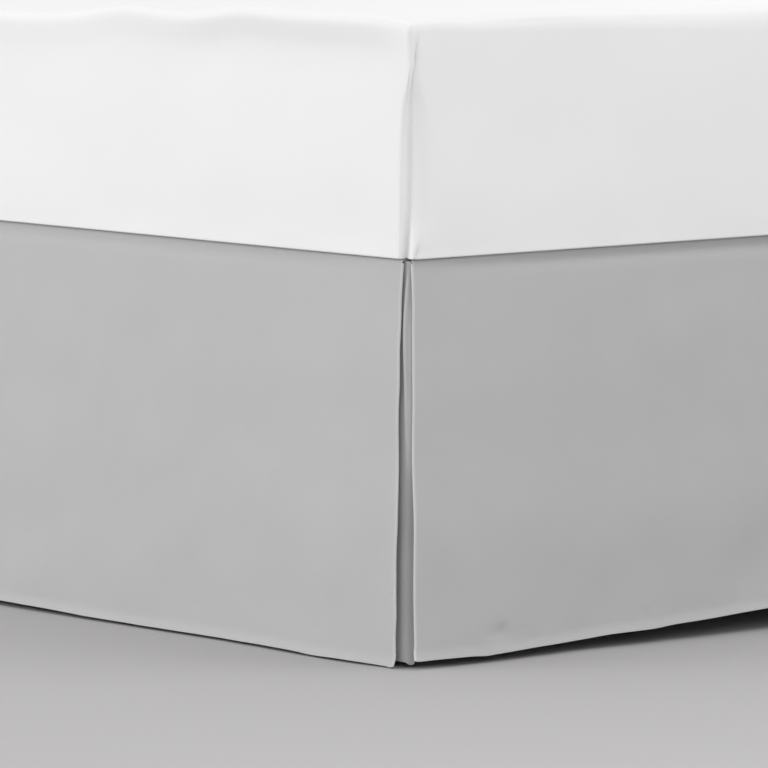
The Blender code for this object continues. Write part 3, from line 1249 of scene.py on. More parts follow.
@dataclass
class CornerUnderlay:
    """The corner piece behind the parted drops: two arms, a soft corner and its own hem."""

    node: str
    side: Side
    arm: float = 0.120
    border: float = 0.0255
    radius: float = 0.008
    behind: float = 0.0045
    bend: float = 0.0016
    raised: float = 0.0006
    corner_width: float = 0.0150
    ridge_width: float = 0.0040
    hang_start: float = 0.030
    hang_fade: float = 0.060
    turn_share: float = 1.5
    held_share: float = 0.06
    mitre_start: float = 0.3
    mitre_rise: float = 0.8

    SOFT = Uneven(0.050, 0.0008, 41.0)
    BORDER_SHARES = (1.0, 0.6, 0.3)
    BEND_STEPS = 6
    ARM = Grading(0.0006, 1.10, 0.0045)
    WALL = Grading(0.0012, 1.3, 0.0065)
    RIDGE_AT = Profile.mm(
        (200, -6), (240, -5.8), (262, -5.4), (300, -6), (333, -5.4), (362, -3.4), (388, -2.2),
    )
    RIDGE_PROUD = Profile.mm((190, 0), (235, 0.6), (280, 1.9), (333, 2.4), (388, 1.2))
    SIDE_IN = Profile.mm((0, 1.4), (80, 1.4), (150, 1.2), (190, 1), (240, 0.4))
    FOOT_IN = Profile.mm((0, 3), (80, 3), (150, 2.6), (190, 1.6), (240, 0.4))
    CORNER_IN = Profile.mm((0, 5.8), (120, 5.6), (170, 4.4), (200, 2), (260, 0))
    HEM = Profile.mm(
        (-120, 6.2), (-30, 5.8), (-10, 5.5), (-6.5, 4.8), (-3.5, 3.2), (-0.8, 2.6), (2.5, 2.9),
        (5, 4.8), (7.5, 8.5), (10, 11.5), (26, 12.5), (120, 13),
    )

    def stations(self) -> list[tuple[float, float]]:
        """Places round the corner, from the side arm to the foot one.

        Returns:
            Metres from the corner's middle, minus on the side arm, and metres along the flat cloth.
        """
        arc = self.radius * math.pi / 2
        half = arc / 2 + self.arm
        places = self.ARM.along(half)
        signed = [-place for place in reversed(places)] + places[1:]
        return [(place, place + half) for place in signed]

    def plan(self, place: float) -> tuple[float, float, float, float]:
        """A place round the corner as a point and an outward direction.

        Args:
            place: Metres from the corner's middle, minus on the side arm.

        Returns:
            x and y in from the corner's two planes, and the outward direction's x and y.
        """
        arc = self.radius * math.pi / 2
        if place < -arc / 2:
            return 0.0, self.radius + (-place - arc / 2), -1.0, 0.0
        if place > arc / 2:
            return self.radius + (place - arc / 2), 0.0, 0.0, -1.0
        angle = CORNER_HEADING + place / self.radius
        nx, ny = math.cos(angle), math.sin(angle)
        return self.radius * (1 + nx), self.radius * (1 + ny), nx, ny

    def rows(self, wall: float) -> list[tuple[float, float, float]]:
        """Rows from the border's inner edge to the hem.

        Args:
            wall: Metres from the bend to the hem.

        Returns:
            The border share, bend angle and wall share of each.
        """
        rows = [(share, 0.0, 0.0) for share in self.BORDER_SHARES]
        bend = math.pi / 2
        rows += [(0.0, bend * k / self.BEND_STEPS, 0.0) for k in range(self.BEND_STEPS + 1)]
        return rows + [(0.0, bend, place / wall) for place in self.WALL.both_ways(wall)[1:]]

    def point(self, bed: Bed, place: float, row: tuple[float, float, float]) -> Vector:
        """Places one point of the underlay.

        Args:
            bed: The bed's faces.
            place: Metres round from the corner's middle.
            row: Its border share, bend angle and wall share.

        Returns:
            The world point.
        """
        share, angle, fall = row
        px, py, nx, ny = self.plan(place)
        away = max(0.0, abs(place) - self.radius * math.pi / 4)
        border = min(self.border, self.mitre_start * self.radius + self.mitre_rise * away)
        inset = self.bend * (1 - math.sin(angle)) + share * border
        level = bed.deck_z + self.raised
        z = level - self.bend * (1 - math.cos(angle))
        out, drawn = -inset, 0.0
        if fall > 0.0:
            z = mix(level - self.bend, self.HEM.at(place), fall)
            out = self.wall_form(place, z, fall)
            drawn = self.flattened(place, z, fall)
        reach_x = bed.face_x - SOLID_CLOTH / 2 - self.behind
        reach_y = bed.face_y - SOLID_CLOTH / 2 - self.behind
        x = -reach_x + px + nx * out + drawn
        y = -reach_y + py + ny * out + drawn
        return Vector((x if self.side is Side.LEFT else -x, y, z))

    def wall_form(self, place: float, z: float, fall: float) -> float:
        """Shapes the hanging part: its soft ridge, and how it hangs in lower down.

        Args:
            place: Metres round from the corner's middle.
            z: Height.
            fall: Share from the bend to the hem.

        Returns:
            Metres out.
        """
        loose = smoothstep(fall / self.held_share)
        away = place - self.RIDGE_AT.at(z)
        ridge = self.RIDGE_PROUD.at(z) * swell(away / self.ridge_width)
        near = 1 - smoothstep((abs(place) - self.hang_start) / self.hang_fade)
        turn = smoothstep(0.5 + place / (self.turn_share * self.radius))
        hang_in = mix(self.SIDE_IN.at(z), self.FOOT_IN.at(z), turn)
        return loose * (ridge + self.SOFT.at(place, z) - hang_in * near)

    def flattened(self, place: float, z: float, fall: float) -> float:
        """How far the corner is drawn in on its diagonal, in x and in y alike."""
        loose = smoothstep(fall / self.held_share)
        return loose * self.CORNER_IN.at(z) * swell(place / self.corner_width) * math.sqrt(0.5)

    def build(self, bed: Bed, material: Material) -> Piece:
        """Makes the underlay as one sheet of cloth.

        Args:
            bed: The bed's faces.
            material: The skirt's cloth.

        Returns:
            The underlay.
        """
        wall = (bed.deck_z + self.raised) - self.bend - self.HEM.at(0.0)
        stations, rows = self.stations(), self.rows(wall)
        across, down = len(stations) - 1, len(rows) - 1
        piece = add_lattice(f"skirt_{self.node}", across, down)
        total = self.border + self.bend * math.pi / 2 + wall

        def cloth(column: int, row: int) -> tuple[float, float]:
            """Finds a point on the flat cloth.

            Args:
                column: Its station.
                row: Its row.

            Returns:
                The metres along and down the cloth.
            """
            share, angle, fall = rows[row]
            down_cloth = self.border * (1 - share) + self.bend * angle + wall * fall
            return stations[column][1], down_cloth

        lay_out(
            piece, across, down, lambda c, r: self.point(bed, stations[c][0], rows[r]), cloth
        )
        return dress_sheet(piece, self.node, material, (stations[-1][1], total))


# ---------------------------------------------------------------- deck


@dataclass
class SkirtDeck:
    """The platform cloth between the box spring and the mattress."""

    node: str = "deck"
    cell: float = 0.020

    SOFT = Uneven(0.080, 0.0002, 3.0)

    def build(self, bed: Bed, material: Material) -> Piece:
        """Makes the deck as one laid sheet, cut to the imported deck's outline.

        Args:
            bed: The bed's faces.
            material: The skirt's cloth.

        Returns:
            The deck.
        """
        low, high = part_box(self.node)
        width, length = high.x - low.x, high.y - low.y
        across, down = round(width / self.cell), round(length / self.cell)
        piece = add_lattice("skirt_deck", across, down)

        def place(column: int, row: int) -> Vector:
            """Lays a point of the deck, with the least unevenness that still lies flat.

            Args:
                column: Its column.
                row: Its row.

            Returns:
                The world point.
            """
            x = mix(low.x, high.x, column / across)
            y = mix(low.y, high.y, row / down)
            return Vector((x, y, bed.deck_z + self.SOFT.at(x, y)))

        lay_out(piece, across, down, place, lambda c, r: (width * c / across, length * r / down))
        flat, rests_on = (width, length), "box_spring_cover"
        return dress_sheet(piece, self.node, material, flat)


# ---------------------------------------------------------------- soft blocks


@dataclass(frozen=True)
class BlockRounding:
    """The radii of a soft block's edges, metres."""

    corner: float
    top: float
    bottom: float
    steps: int = 5
    first_step: float = 0.0014
    growth: float = 1.14

    def stations(
        self, low: float, high: float, low_radius: float, high_radius: float, step: float
    ) -> list[float]:
        """Places of the block's loops along one axis, close together near its edges.

        Args:
            low: The axis's lower end.
            high: Its upper end.
            low_radius: Radius of the edge at the lower end.
            high_radius: Radius at the upper end.
            step: The longest step between.

        Returns:
            The places in order.
        """
        quarter = math.radians(45)
        eased = [1 - math.tan(quarter * (1 - k / self.steps)) for k in range(self.steps + 1)]
        start = [low + low_radius * share for share in eased]
        end = [high - high_radius * share for share in reversed(eased)]
        inner = Grading(self.first_step, self.growth, step).both_ways(end[0] - start[-1])
        return start + [start[-1] + place for place in inner[1:-1]] + end


@dataclass
class SoftBlock:
    """A rounded block whose surface is then moved: the start of mattress and base."""

    name: str
    low: Vector
    high: Vector
    rounding: BlockRounding
    step: float
    side_step: float

    def build(self, move: Callable[[Vector, Vector], Vector]) -> Piece:
        """Makes the block.

        Args:
            move: Gives a surface point its final place, from the point and its outward normal.

        Returns:
            The closed block, with its cloth map.
        """
        corner = self.rounding.corner
        xs = self.rounding.stations(self.low.x, self.high.x, corner, corner, self.step)
        ys = self.rounding.stations(self.low.y, self.high.y, corner, corner, self.step)
        bottom, top = self.rounding.bottom, self.rounding.top
        zs = self.rounding.stations(self.low.z, self.high.z, bottom, top, self.side_step)
        piece = add_lattice(self.name, len(xs) - 1, len(ys) - 1)
        bpy.ops.object.mode_set(mode="EDIT")
        bpy.ops.mesh.select_all(action="SELECT")
        lift = (0.0, 0.0, 1.0 / (len(zs) - 1))
        for _ in range(len(zs) - 1):
            bpy.ops.mesh.extrude_region_move(TRANSFORM_OT_translate={"value": lift})
        bpy.ops.mesh.select_all(action="SELECT")
        bpy.ops.mesh.normals_make_consistent(inside=False)
        bpy.ops.object.mode_set(mode="OBJECT")
        flat_points = []
        for vertex in piece.data.vertices:
            column, row = lattice_place(vertex.co, len(xs) - 1, len(ys) - 1)
            level = round(vertex.co.z * (len(zs) - 1))
            point, normal = self.rounded(Vector((xs[column], ys[row], zs[level])))
            flat_points.append(point)
            vertex.co = move(point, normal)
        self.map_cloth(piece, flat_points)
        pick(piece)
        bpy.ops.object.shade_smooth()
        return piece

    def rounded(self, point: Vector) -> tuple[Vector, Vector]:
        """Moves a point of the square block on to the rounded one.

        Args:
            point: The point.

        Returns:
            Where it goes, and its outward normal.
        """
        radius = self.rounding.corner
        upper = point.z > (self.low.z + self.high.z) / 2
        level = self.rounding.top if upper else self.rounding.bottom
        scale = Vector((radius, radius, level))
        inner = Vector(
            (
                min(max(point.x, self.low.x + radius), self.high.x - radius),
                min(max(point.y, self.low.y + radius), self.high.y - radius),
                min(max(point.z, self.low.z + level), self.high.z - level),
            )
        )
        away = Vector([(p - i) / s for p, i, s in zip(point, inner, scale)])
        away.normalize()
        return inner + Vector([a * s for a, s in zip(away, scale)]), away

    def map_cloth(self, piece: Piece, points: Sequence[Vector]) -> None:
        """Maps the cover in metres, each face from the side that it looks to.

        Args:
            piece: The block.
            points: Where its points were before they were moved.
        """
        mesh = piece.data
        layer = mesh.uv_layers.active or mesh.uv_layers.new()
        layer.name = "cloth"
        for face in mesh.polygons:
            normal = [abs(value) for value in face.normal]
            axis = normal.index(max(normal))
            first, second = ((1, 2), (0, 2), (0, 1))[axis]
            for index in face.loop_indices:
                point = points[mesh.loops[index].vertex_index]
                layer.data[index].uv = (point[first], point[second])


@dataclass
class SheetedMattress:
    """The mattress in its fitted sheet, its top edge uneven and its corners drawn in a tuck."""

    node: str = "mattress"
    top_rise: float = 0.0060
    side_reach: float = 0.220
    foot_reach: float = 0.034
    rim_depth: float = 0.100
    edge_power: float = 3.0
    side_from: float = 0.1
    side_fade: float = 0.6
    held_height: float = 0.020
    corner_fade: float = 0.060
    corner_form: float = 0.2
    tuck_softness: float = 0.16
    tuck_across: float = 0.020
    tuck_along: float = 0.080
    fill: float = 0.9

    ROUNDING = BlockRounding(corner=0.005, top=0.008, bottom=0.0016)
    STEPS = (0.016, 0.0062)
    SIDE_LAYER, FOOT_LAYER = 11.0, 19.0
    BROAD = Uneven(0.120, 0.0020)
    NARROW = Uneven(0.045, 0.0007, 3.0, 0.5)
    TOP = Uneven(0.150, 0.0012, 5.0)
    LEFT_EDGE = Profile.mm(
        (0, 615), (12, 616.8), (30, 619.2), (50, 621), (100, 621.6), (160, 621.2), (205, 622),
        (250, 623.2), (293, 618.2), (335, 613.8), (375, 614), (405, 616), (440, 616.5), (490, 610),
        (535, 605), (620, 603), (820, 608), (1050, 616.5), (1350, 611), (1650, 617.5), (1910, 614),
    )
    FOOT_EDGE = Profile.mm(
        (0, 618.5), (32, 616.5), (70, 612), (133, 611), (210, 609.5), (290, 607), (370, 603.5),
        (440, 602), (600, 604), (800, 610), (996, 618),
    )
    SIDE_FORM = Profile.mm(
        (0, 1.2), (9, 3), (18, 1), (32, -3), (50, -3.6), (80, -1.6), (120, 0.2), (160, 1.4),
        (205, 0.4), (226, 0),
    )
    SIDE_STRENGTH = Profile(((0, 1), (0.3, 1), (0.36, 0.6), (0.6, 0.4), (1.9, 0.4)))
    FOOT_FORM = Profile.mm((0, 0), (20, 0), (110, 0.6), (160, 1.2), (205, 0.4), (226, 0))
    TUCK_AT = Profile.mm(
        (395, -6), (411, -4.8), (430, -3.2), (458, -2.4), (515, -1.6), (543, 0), (562, 3.3),
        (581, 6.2), (590, 6.8), (606, 10),
    )
    TUCK_DEPTH = Profile.mm(
        (391, 17), (430, 18.5), (500, 18), (540, 12.5), (560, 6), (580, 3.2), (600, 2.2), (612, 0),
    )
    SLIT_DEPTH = Profile.mm(
        (391, 4), (405, 2.8), (425, 1), (500, 0.8), (535, 0.8), (565, 1.8), (590, 2.2), (604, 0),
    )
    TUCK_LEFT = Profile.mm((395, 11), (430, 13), (540, 13), (565, 6), (590, 2.6))
    TUCK_RIGHT = Profile.mm((391, 20), (420, 26), (450, 30), (530, 28), (565, 12), (590, 5))
    SLIT_WIDTH = Profile.mm((391, 5), (500, 6.5), (560, 4), (600, 2.8))
    CORNER_CREASES = Crease.rows(
        (14, 592, 20, 7, 1.2, 8), (8.2, 397, 14, 2.6, -3.4, 20), (10, 405, 20, 3, 0.6, 17),
    )
    SIDE_CREASES = Crease.rows(
        (320, 575, 50, 60, -1.6, 60), (180, 560, 50, 110, -1.4, 80), (520, 520, 70, 100, 1.6),
        (90, 480, 90, 60, 0.9), (800, 500, 90, 140, -1.6, 20), (1200, 520, 90, 150, 1.4, -15),
        (1600, 500, 90, 140, -1.4, 10),
    )
    FOOT_CREASES = Crease.rows(
        (60, 470, 90, 50, 1), (160, 490, 80, 70, -1.4, 25), (330, 520, 80, 100, 1.2),
        (600, 500, 80, 120, -1.2, -20), (850, 520, 80, 90, 1.2, 10),
    )

    def top(self, bed: Bed) -> float:
        """The height of the middle of the top."""
        return bed.mattress_top + self.top_rise

    def edge_drop(self, bed: Bed, point: Vector) -> float:
        """How far the top's edges lie under its middle.

        Args:
            bed: The bed's faces.
            point: A point of the rounded block.

        Returns:
            A negative height, metres.
        """
        x, y = point.x + bed.half_x, point.y + bed.half_y
        far_x, far_y = bed.half_x - point.x, bed.half_y - point.y
        sides = (
            (x, self.side_reach, self.LEFT_EDGE.at(y)),
            (far_x, self.side_reach, self.LEFT_EDGE.at(y)),
            (y, self.foot_reach, self.FOOT_EDGE.at(x)),
            (far_y, self.foot_reach, self.FOOT_EDGE.at(far_x)),
        )
        total = 0.0
        for inward, reach, height in sides:
            share = min(1.0, max(0.0, 1.0 - inward / reach))
            rolled = 1.0 - math.sqrt(1.0 - share * share) if reach < self.side_reach else share**2
            total += (max(0.0, self.top(bed) - height) * rolled) ** self.edge_power
        return -(total ** (1.0 / self.edge_power))

    def outward(self, bed: Bed, point: Vector, normal: Vector, height: float) -> Vector:
        """How far the sides and corners move, and where to.

        Args:
            bed: The bed's faces.
            point: A point of the rounded block.
            normal: Its outward normal.
            height: The point's height once the top edge is uneven.

        Returns:
            The move.
        """
        from_corner = max(bed.half_x - abs(point.x), bed.half_y - abs(point.y))
        flat = Vector((normal.x, normal.y, 0.0))
        move = self.tuck(bed, point, height)
        if flat.length <= self.side_from:
            return move
        below = max(0.0, self.top(bed) + self.edge_drop(bed, point) - height)
        near_corner = smoothstep(from_corner / self.corner_fade)
        if abs(normal.x) > abs(normal.y):
            along, layer, creases = point.y + bed.half_y, self.SIDE_LAYER, self.SIDE_CREASES
            form = self.SIDE_FORM.at(below) * self.SIDE_STRENGTH.at(along)
        else:
            along, layer, creases = point.x + bed.half_x, self.FOOT_LAYER, self.FOOT_CREASES
            form = self.FOOT_FORM.at(below)
        out = form * mix(self.corner_form, 1.0, near_corner)
        out += creases_at(creases, along, height) * near_corner
        out += self.BROAD.at(along, height, layer) + self.NARROW.at(along, height, layer)
        held = smoothstep((height - bed.mattress_bottom) / self.held_height)
        turned = smoothstep((flat.length - self.side_from) / self.side_fade)
        return move + flat.normalized() * out * held * turned

    def tuck(self, bed: Bed, point: Vector, height: float) -> Vector:
        """Draws the sheet into a tuck at the nearest corner.

        Args:
            bed: The bed's faces.
            point: A point of the rounded block.
            height: The point's height once the top edge is uneven.

        Returns:
            The move.
        """
        from_x = bed.half_x - abs(point.x)
        from_y = bed.half_y - abs(point.y)
        if min(from_x, from_y) > self.tuck_across or max(from_x, from_y) > self.tuck_along:
            return Vector((0.0, 0.0, 0.0))
        inward = Vector((-math.copysign(1.0, point.x), -math.copysign(1.0, point.y), 0.0))
        place = from_x - from_y
        away = place - self.TUCK_AT.at(height)
        width = self.TUCK_LEFT.at(height) if away < 0 else self.TUCK_RIGHT.at(height)
        soft = self.tuck_softness
        share = max(0.0, math.hypot(1.0, soft) - math.hypot(away / width, soft))
        slit = max(0.0, 1.0 - abs(away) / self.SLIT_WIDTH.at(height))
        depth = self.TUCK_DEPTH.at(height) * share * share
        depth += self.SLIT_DEPTH.at(height) * slit * slit
        depth -= creases_at(self.CORNER_CREASES, place, height)
        return inward.normalized() * depth

    def build(self, bed: Bed, material: Material) -> Piece:
        """Makes the sheeted mattress as one padded piece.

        Args:
            bed: The bed's faces.
            material: The sheet's cloth.

        Returns:
            The mattress.
        """
        low = Vector((-bed.half_x, -bed.half_y, bed.mattress_bottom))
        high = Vector((bed.half_x, bed.half_y, self.top(bed)))
        block = SoftBlock("sheeted_mattress", low, high, self.ROUNDING, *self.STEPS)

        def move(point: Vector, normal: Vector) -> Vector:
            """Gives a surface point its final place.

            Args:
                point: A point of the rounded block.
                normal: Its outward normal.

            Returns:
                The final place.
            """
            rim = smoothstep((point.z - self.top(bed)) / self.rim_depth + 1.0)
            height = point.z + self.edge_drop(bed, point) * rim
            moved = Vector((point.x, point.y, height))
            if normal.z > 0.5:
                moved.z += self.TOP.at(point.x, point.y)
            return moved + self.outward(bed, point, normal, height)

        return dress_pad(block.build(move), self.node, material, self.fill)


@dataclass
class BoxSpring:
    """The box spring in its ticking, with a welt round its top and bottom edges."""

    node: str = "box_spring"
    welt: float = 0.0022
    welt_half: float = 0.0040
    welt_in: float = 0.012
    bulge: float = 0.0010
    bulge_fade: float = 0.03
    fill: float = 1.0

    SOFT = Uneven(0.070, 0.0010, 23.0)
    ROUNDING = BlockRounding(corner=0.028, top=0.010, bottom=0.010)
    STEPS = (0.022, 0.0070)

    def build(self, material: Material) -> Piece:
        """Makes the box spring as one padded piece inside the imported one's sides.

        Args:
            material: Its ticking.

        Returns:
            The box spring.
        """
        low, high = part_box(self.node)
        slack = Vector((self.welt, self.welt, 0.0))
        block = SoftBlock(
            "box_spring_cover", low + slack, high - slack, self.ROUNDING, *self.STEPS
        )

        def move(point: Vector, normal: Vector) -> Vector:
            """Raises the welts and lets the ticking bulge a little between them.

            Args:
                point: A point of the rounded block.
                normal: Its outward normal.

            Returns:
                The final place.
            """
            flat = Vector((normal.x, normal.y, 0.0))
            from_edge = min(high.z - point.z, point.z - low.z)
            share = (point.z - low.z) / (high.z - low.z)
            out = self.welt * swell((from_edge - self.welt_in) / self.welt_half)
            out += self.bulge * math.sin(math.pi * share) * smoothstep(from_edge / self.bulge_fade)
            out += self.SOFT.at(point.x + point.y, point.z)
            return point + flat * min(out, self.welt)

        return dress_pad(block.build(move), self.node, material, self.fill)


# ---------------------------------------------------------------- the steel frame


@dataclass
class SteelFrame:
    """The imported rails, legs and glides, which keep their shape and get their finish."""

    steel_nodes: tuple[str, ...] = ("side_rail", "cross_rail", "leg")
    glide_nodes: tuple[str, ...] = ("glide",)

    def dress(self, steel: Material, plastic: Material) -> None:
        """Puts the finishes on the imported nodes.

        Args:
            steel: The finish of the rails and legs.
            plastic: The finish of the glides.
        """
        for name, node in sorted(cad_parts.items()):
            if name.startswith(self.steel_nodes):
                self.paint(node, steel)
            elif name.startswith(self.glide_nodes):
                self.paint(node, plastic)

    @staticmethod
    def paint(node: Piece, material: Material) -> None:
        """Puts one material in all of a node's slots.

        Args:
            node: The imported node.
            material: Its finish.
        """
        if not node.material_slots:
            node.data.materials.append(material)
        for slot in node.material_slots:
            slot.material = material
        LOG.info("%s: %s", node.name, material.name)


# ---------------------------------------------------------------- studio


def heading(azimuth: float, elevation: float) -> Vector:
    """Turns two angles into the direction to a place.

    Args:
        azimuth: Degrees round from the foot.
        elevation: Degrees up from the floor.

    Returns:
        The direction.
    """
    turn, rise = math.radians(azimuth), math.radians(elevation)
    flat = math.cos(rise)
    return Vector((math.sin(turn) * flat, -math.cos(turn) * flat, math.sin(rise)))


def stand(name: str, data: bpy.types.ID, place: Vector, ahead: Vector) -> Piece:
    """Stands a light or a camera at its place, turned to look ahead.

    Args:
        name: Its name.
        data: The light or the camera.
        place: Where it stands.
        ahead: The direction that it looks in.

    Returns:
        Its object.
    """
    made = bpy.data.objects.new(name, data)
    made.location = place
    made.rotation_mode = "QUATERNION"
    made.rotation_quaternion = ahead.to_track_quat("-Z", "Y")
    bpy.context.scene.collection.objects.link(made)
    return made


@dataclass(frozen=True)
class Softbox:
    """A soft light: where it stands from its target, how large and how strong it is."""

    name: str
    azimuth: float
    elevation: float
    distance: float
    width: float
    height: float
    watts: float
    target: tuple[float, float, float]

    def build(self) -> None:
        """Adds the light, turned to its target."""
        back = heading(self.azimuth, self.elevation)
        data = bpy.data.lights.new(self.name, "AREA")
        data.shape = "RECTANGLE"
        data.size, data.size_y = self.width, self.height
        data.energy = self.watts
        light = stand(self.name, data, Vector(self.target) + back * self.distance, -back)
        light.visible_camera = False
        LOG.info("light %s", self.name)


@dataclass
class Studio:
    """Camera, lights, world and floor."""

    azimuth: float = -40.2
    elevation: float = 5.68
    distance: float = 7.07
    lens: float = 350.5
    sensor: float = 36.0
    picture: float = 768.0
    corner_pixel: tuple[float, float] = (410.0, 260.0)
    clip: tuple[float, float] = (0.1, 200.0)
    floor_size: float = 60.0
    floor_cells: int = 8
    fill: float = 0.82

    LIGHTS = (
        Softbox("side_key", -114.0, 15.0, 3.6, 2.2, 1.0, 46.0, (-0.49, -0.30, 0.35)),
        Softbox("foot_key", 34.0, 48.0, 1.7, 1.2, 0.8, 7.0, (-0.20, -0.95, 0.45)),
        Softbox("corner_key", -30.0, 15.0, 1.5, 0.7, 0.5, 2.6, (-0.49, -0.95, 0.25)),
        Softbox("top_soft", -40.0, 80.0, 2.6, 2.4, 2.4, 1.5, (0.0, 0.0, 0.5)),
        Softbox("back_fill", 120.0, 35.0, 3.6, 2.0, 1.5, 10.0, (0.2, 0.3, 0.3)),
    )

    def camera(self, bed: Bed) -> None:
        """Places the camera so that the skirt's foot left corner is where it should be.

        Args:
            bed: The bed's faces.
        """
        ahead = -heading(self.azimuth, self.elevation)
        turn = math.radians(self.azimuth)
        right = Vector((math.cos(turn), math.sin(turn), 0.0))
        up = right.cross(ahead)
        pixels = self.lens / self.sensor * self.picture
        half = self.picture / 2
        aside = (self.corner_pixel[0] - half) / pixels
        above = (half - self.corner_pixel[1]) / pixels
        corner = Vector((-bed.face_x, -bed.face_y, bed.mattress_bottom))
        data = bpy.data.cameras.new("camera")
        data.lens, data.sensor_width = self.lens, self.sensor
        data.clip_start, data.clip_end = self.clip
        place = corner - (ahead + right * aside + up * above) * self.distance
        bpy.context.scene.camera = stand("camera", data, place, ahead)

    def world(self) -> None:
        """Sets an even soft surround and a plain view of its light."""
        world = bpy.data.worlds.new("studio")
        world.use_nodes = True
        surround = world.node_tree.nodes["Background"]
        surround.inputs["Color"].default_value = (1.0, 1.0, 1.0, 1.0)
        surround.inputs["Strength"].default_value = self.fill
        bpy.context.scene.world = world
        bpy.context.scene.view_settings.view_transform = "Standard"

    def floor(self) -> None:
        """Lays the floor under the bed."""
        clear_selection()
        cells = self.floor_cells
        bpy.ops.mesh.primitive_grid_add(
            x_subdivisions=cells, y_subdivisions=cells, size=self.floor_size
        )
        floor = bpy.context.object
        floor.name = floor.data.name = "studio_floor"
        floor.data.materials.append(FLOOR.make())

    def build(self, bed: Bed) -> None:
        """Sets up the whole studio.

        Args:
            bed: The bed's faces.
        """
        self.camera(bed)
        self.world()
        self.floor()
        for light in self.LIGHTS:
            light.build()


# ---------------------------------------------------------------- this skirt


SIDE_FOLDS = Crease.rows(
    (300, 0, 1000, 110, -1.4), (540, 0, 1000, 100, 1.4), (800, 0, 1000, 120, -1.5),
    (1080, 0, 1000, 110, 1.3), (1350, 0, 1000, 120, -1.5), (1640, 0, 1000, 110, 1.2),
)
FOOT_FOLDS = Crease.rows(
    (230, 0, 1000, 80, -1.8), (400, 0, 1000, 80, 1.6), (570, 0, 1000, 80, -1.8),
    (740, 0, 1000, 80, 1.4),
)
SIDE_CREASES = Crease.rows(
    (175, 160, 120, 50, -0.9, 10), (360, 250, 110, 60, 0.8, -15), (470, 130, 100, 60, -0.9, 20),
    (600, 90, 80, 70, -1, 35), (60, 26, 10, 6, -0.6), (104, 24, 9, 5, -0.5),
    (131, 25, 10, 6, -0.6), (158, 24, 8, 5, -0.4), (1000, 200, 140, 70, -1, 12),
    (1250, 180, 120, 70, 1, -10), (1550, 200, 140, 80, -1, 8),
)
FOOT_CREASES = Crease.rows(
    (109, 26, 16, 16, -3), (93, 27, 12, 9, -1.1), (300, 30, 12, 10, -1.6), (430, 60, 50, 60, -3),
    (112, 28, 9, 6, -0.6), (139, 27, 10, 7, -0.7), (172, 29, 8, 5, -0.4), (315, 36, 10, 7, -0.9),
    (341, 37, 8, 5, -0.4), (460, 44, 10, 7, -0.6), (150, 230, 110, 50, -0.8, 15),
    (300, 260, 120, 55, -1, -12), (420, 120, 100, 60, 1, 10), (640, 200, 120, 70, -0.9, 12),
    (840, 160, 120, 60, 0.8, -12),
)
SIDE_HEM = Profile.mm(
    (15, 4.5), (16, 3.6), (17.2, 2.4), (20, 1.3), (26, 1.4), (55, 2.1), (96, 2.5), (138, 2),
    (160, 2.8), (315, 2.8), (475, 3.2), (560, 4.6), (640, 5.2), (900, 5), (1100, 5.5), (1500, 3.5),
    (1900, 4.5),
)
FOOT_HEM = Profile.mm(
    (2, 9.2), (5, 8.3), (21, 8.3), (46, 8.3), (71, 8), (89, 6.9), (98, 7.4), (122, 8.3),
    (162, 9.6), (216, 11.2), (258, 13.3), (311, 14.3), (338, 16.3), (383, 18.2), (445, 21.3),
    (476, 22.9), (536, 24), (636, 20.5), (776, 13), (900, 8), (978, 8),
)
SIDE_EDGE = Profile.mm(
    (10, 17.2), (22, 17.6), (33, 17.1), (50, 15.4), (80, 16), (108, 16.6), (135, 15), (165, 15.4),
    (190, 16.3), (220, 17.2), (250, 16.9), (276, 15.6), (305, 15.7), (328, 15), (353, 14.6),
    (372, 13.1), (388, 11.7),
)
FOOT_EDGE = Profile.mm(
    (8, 1.6), (12, 2.6), (22, 4.6), (33, 4.8), (50, 4.6), (80, 3.7), (120, 3), (180, 3.8),
    (240, 3.5), (276, 3.9), (305, 4.7), (350, 4.6), (372, 3.8), (388, 3.4),
)
SIDE_CORNER = CornerForm(
    crest=0.085,
    reach=0.230,
    swell_out=Profile.mm((0, 6), (120, 6.8), (250, 5.6), (390, 1)),
    curl_width=0.013,
    curl=Profile.mm((0, 1.6), (180, 1.4), (270, 0.4), (390, 0)),
)
FOOT_CORNER = CornerForm(
    crest=0.060,
    reach=0.180,
    swell_out=Profile.mm((0, 3.4), (150, 4), (300, 3.2), (390, 0.8)),
    curl_width=0.007,
    curl=Profile.mm((0, 0.4), (200, 0.3), (390, 0)),
)
PLAIN_END = CornerForm(
    crest=0.050,
    reach=0.120,
    swell_out=Profile.mm((0, 1), (390, 0.4)),
    curl_width=0.010,
    curl=Profile.mm((0, 0), (390, 0)),
)


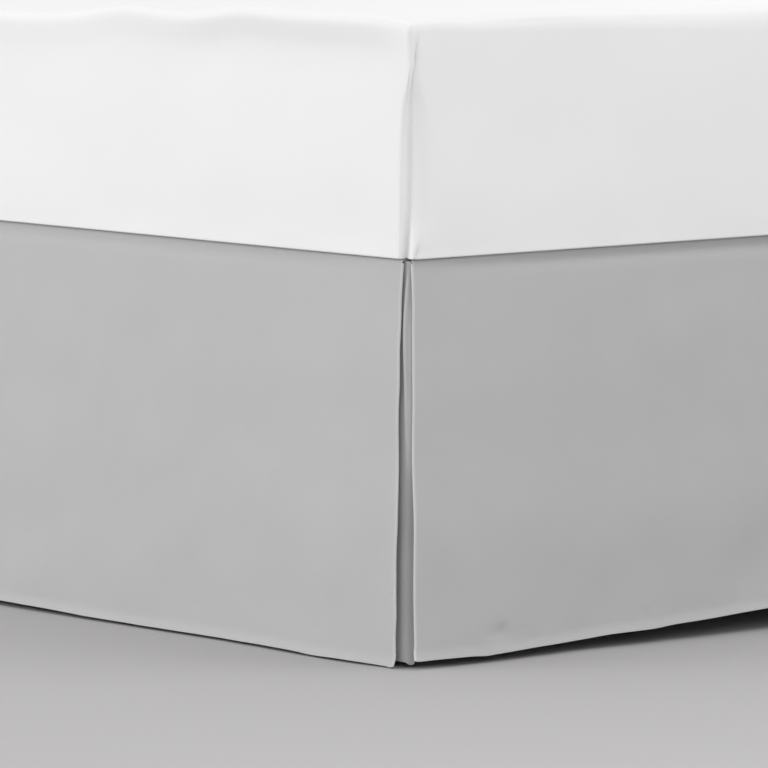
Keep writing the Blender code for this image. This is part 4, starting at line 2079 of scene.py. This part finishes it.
@dataclass
class BedSkirt:
    """The skirt: deck, three drops and two underlays."""

    bed: Bed

    LAYERS = {Side.LEFT: 31.0, Side.RIGHT: 53.0, Side.FOOT: 71.0}

    def side_drop(self, side: Side) -> SkirtDrop:
        """A side drop, open and plain at the head.

        Args:
            side: The side that it hangs on.

        Returns:
            The drop.
        """
        head = self.bed.face_y - self.bed.head
        return SkirtDrop(
            node=f"drop_{side.value}",
            side=side,
            length=2 * self.bed.face_y,
            edges=(SIDE_EDGE, Profile(((0.0, head), (1.0, head)))),
            far_turned=False,
            hem=SIDE_HEM,
            folds=SIDE_FOLDS,
            creases=SIDE_CREASES,
            corner_forms=(SIDE_CORNER, PLAIN_END),
            layer=self.LAYERS[side],
        )

    def foot_drop(self) -> SkirtDrop:
        """The foot drop, its edges turned back at both corners.

        Returns:
            The drop.
        """
        return SkirtDrop(
            node="drop_foot",
            side=Side.FOOT,
            length=2 * self.bed.face_x,
            edges=(FOOT_EDGE, FOOT_EDGE),
            far_turned=True,
            hem=FOOT_HEM,
            folds=FOOT_FOLDS,
            creases=FOOT_CREASES,
            corner_forms=(FOOT_CORNER, FOOT_CORNER),
            layer=self.LAYERS[Side.FOOT],
        )

    def build(self, cloth: Material) -> None:
        """Makes the deck, the underlays and the drops.

        Args:
            cloth: The skirt's cloth.
        """
        SkirtDeck().build(self.bed, cloth)
        sides = (Side.LEFT, Side.RIGHT)
        for side in sides:
            CornerUnderlay(f"underlay_{side.value}", side).build(self.bed, cloth)
        for drop in (*(self.side_drop(side) for side in sides), self.foot_drop()):
            drop.build(self.bed, cloth)


def main() -> None:
    """Builds the studio and dresses the bed, piece by piece."""
    logging.basicConfig(level=logging.INFO, format="%(name)s: %(message)s")
    bed = Bed.from_frame()
    Studio().build(bed)
    BoxSpring().build(BOX_TICKING.make())
    BedSkirt(bed).build(SKIRT_CLOTH.make())
    SheetedMattress().build(bed, FITTED_SHEET.make())
    SteelFrame().dress(PAINTED_STEEL.make(), GLIDE_PLASTIC.make())


if __name__ == "__main__":
    main()
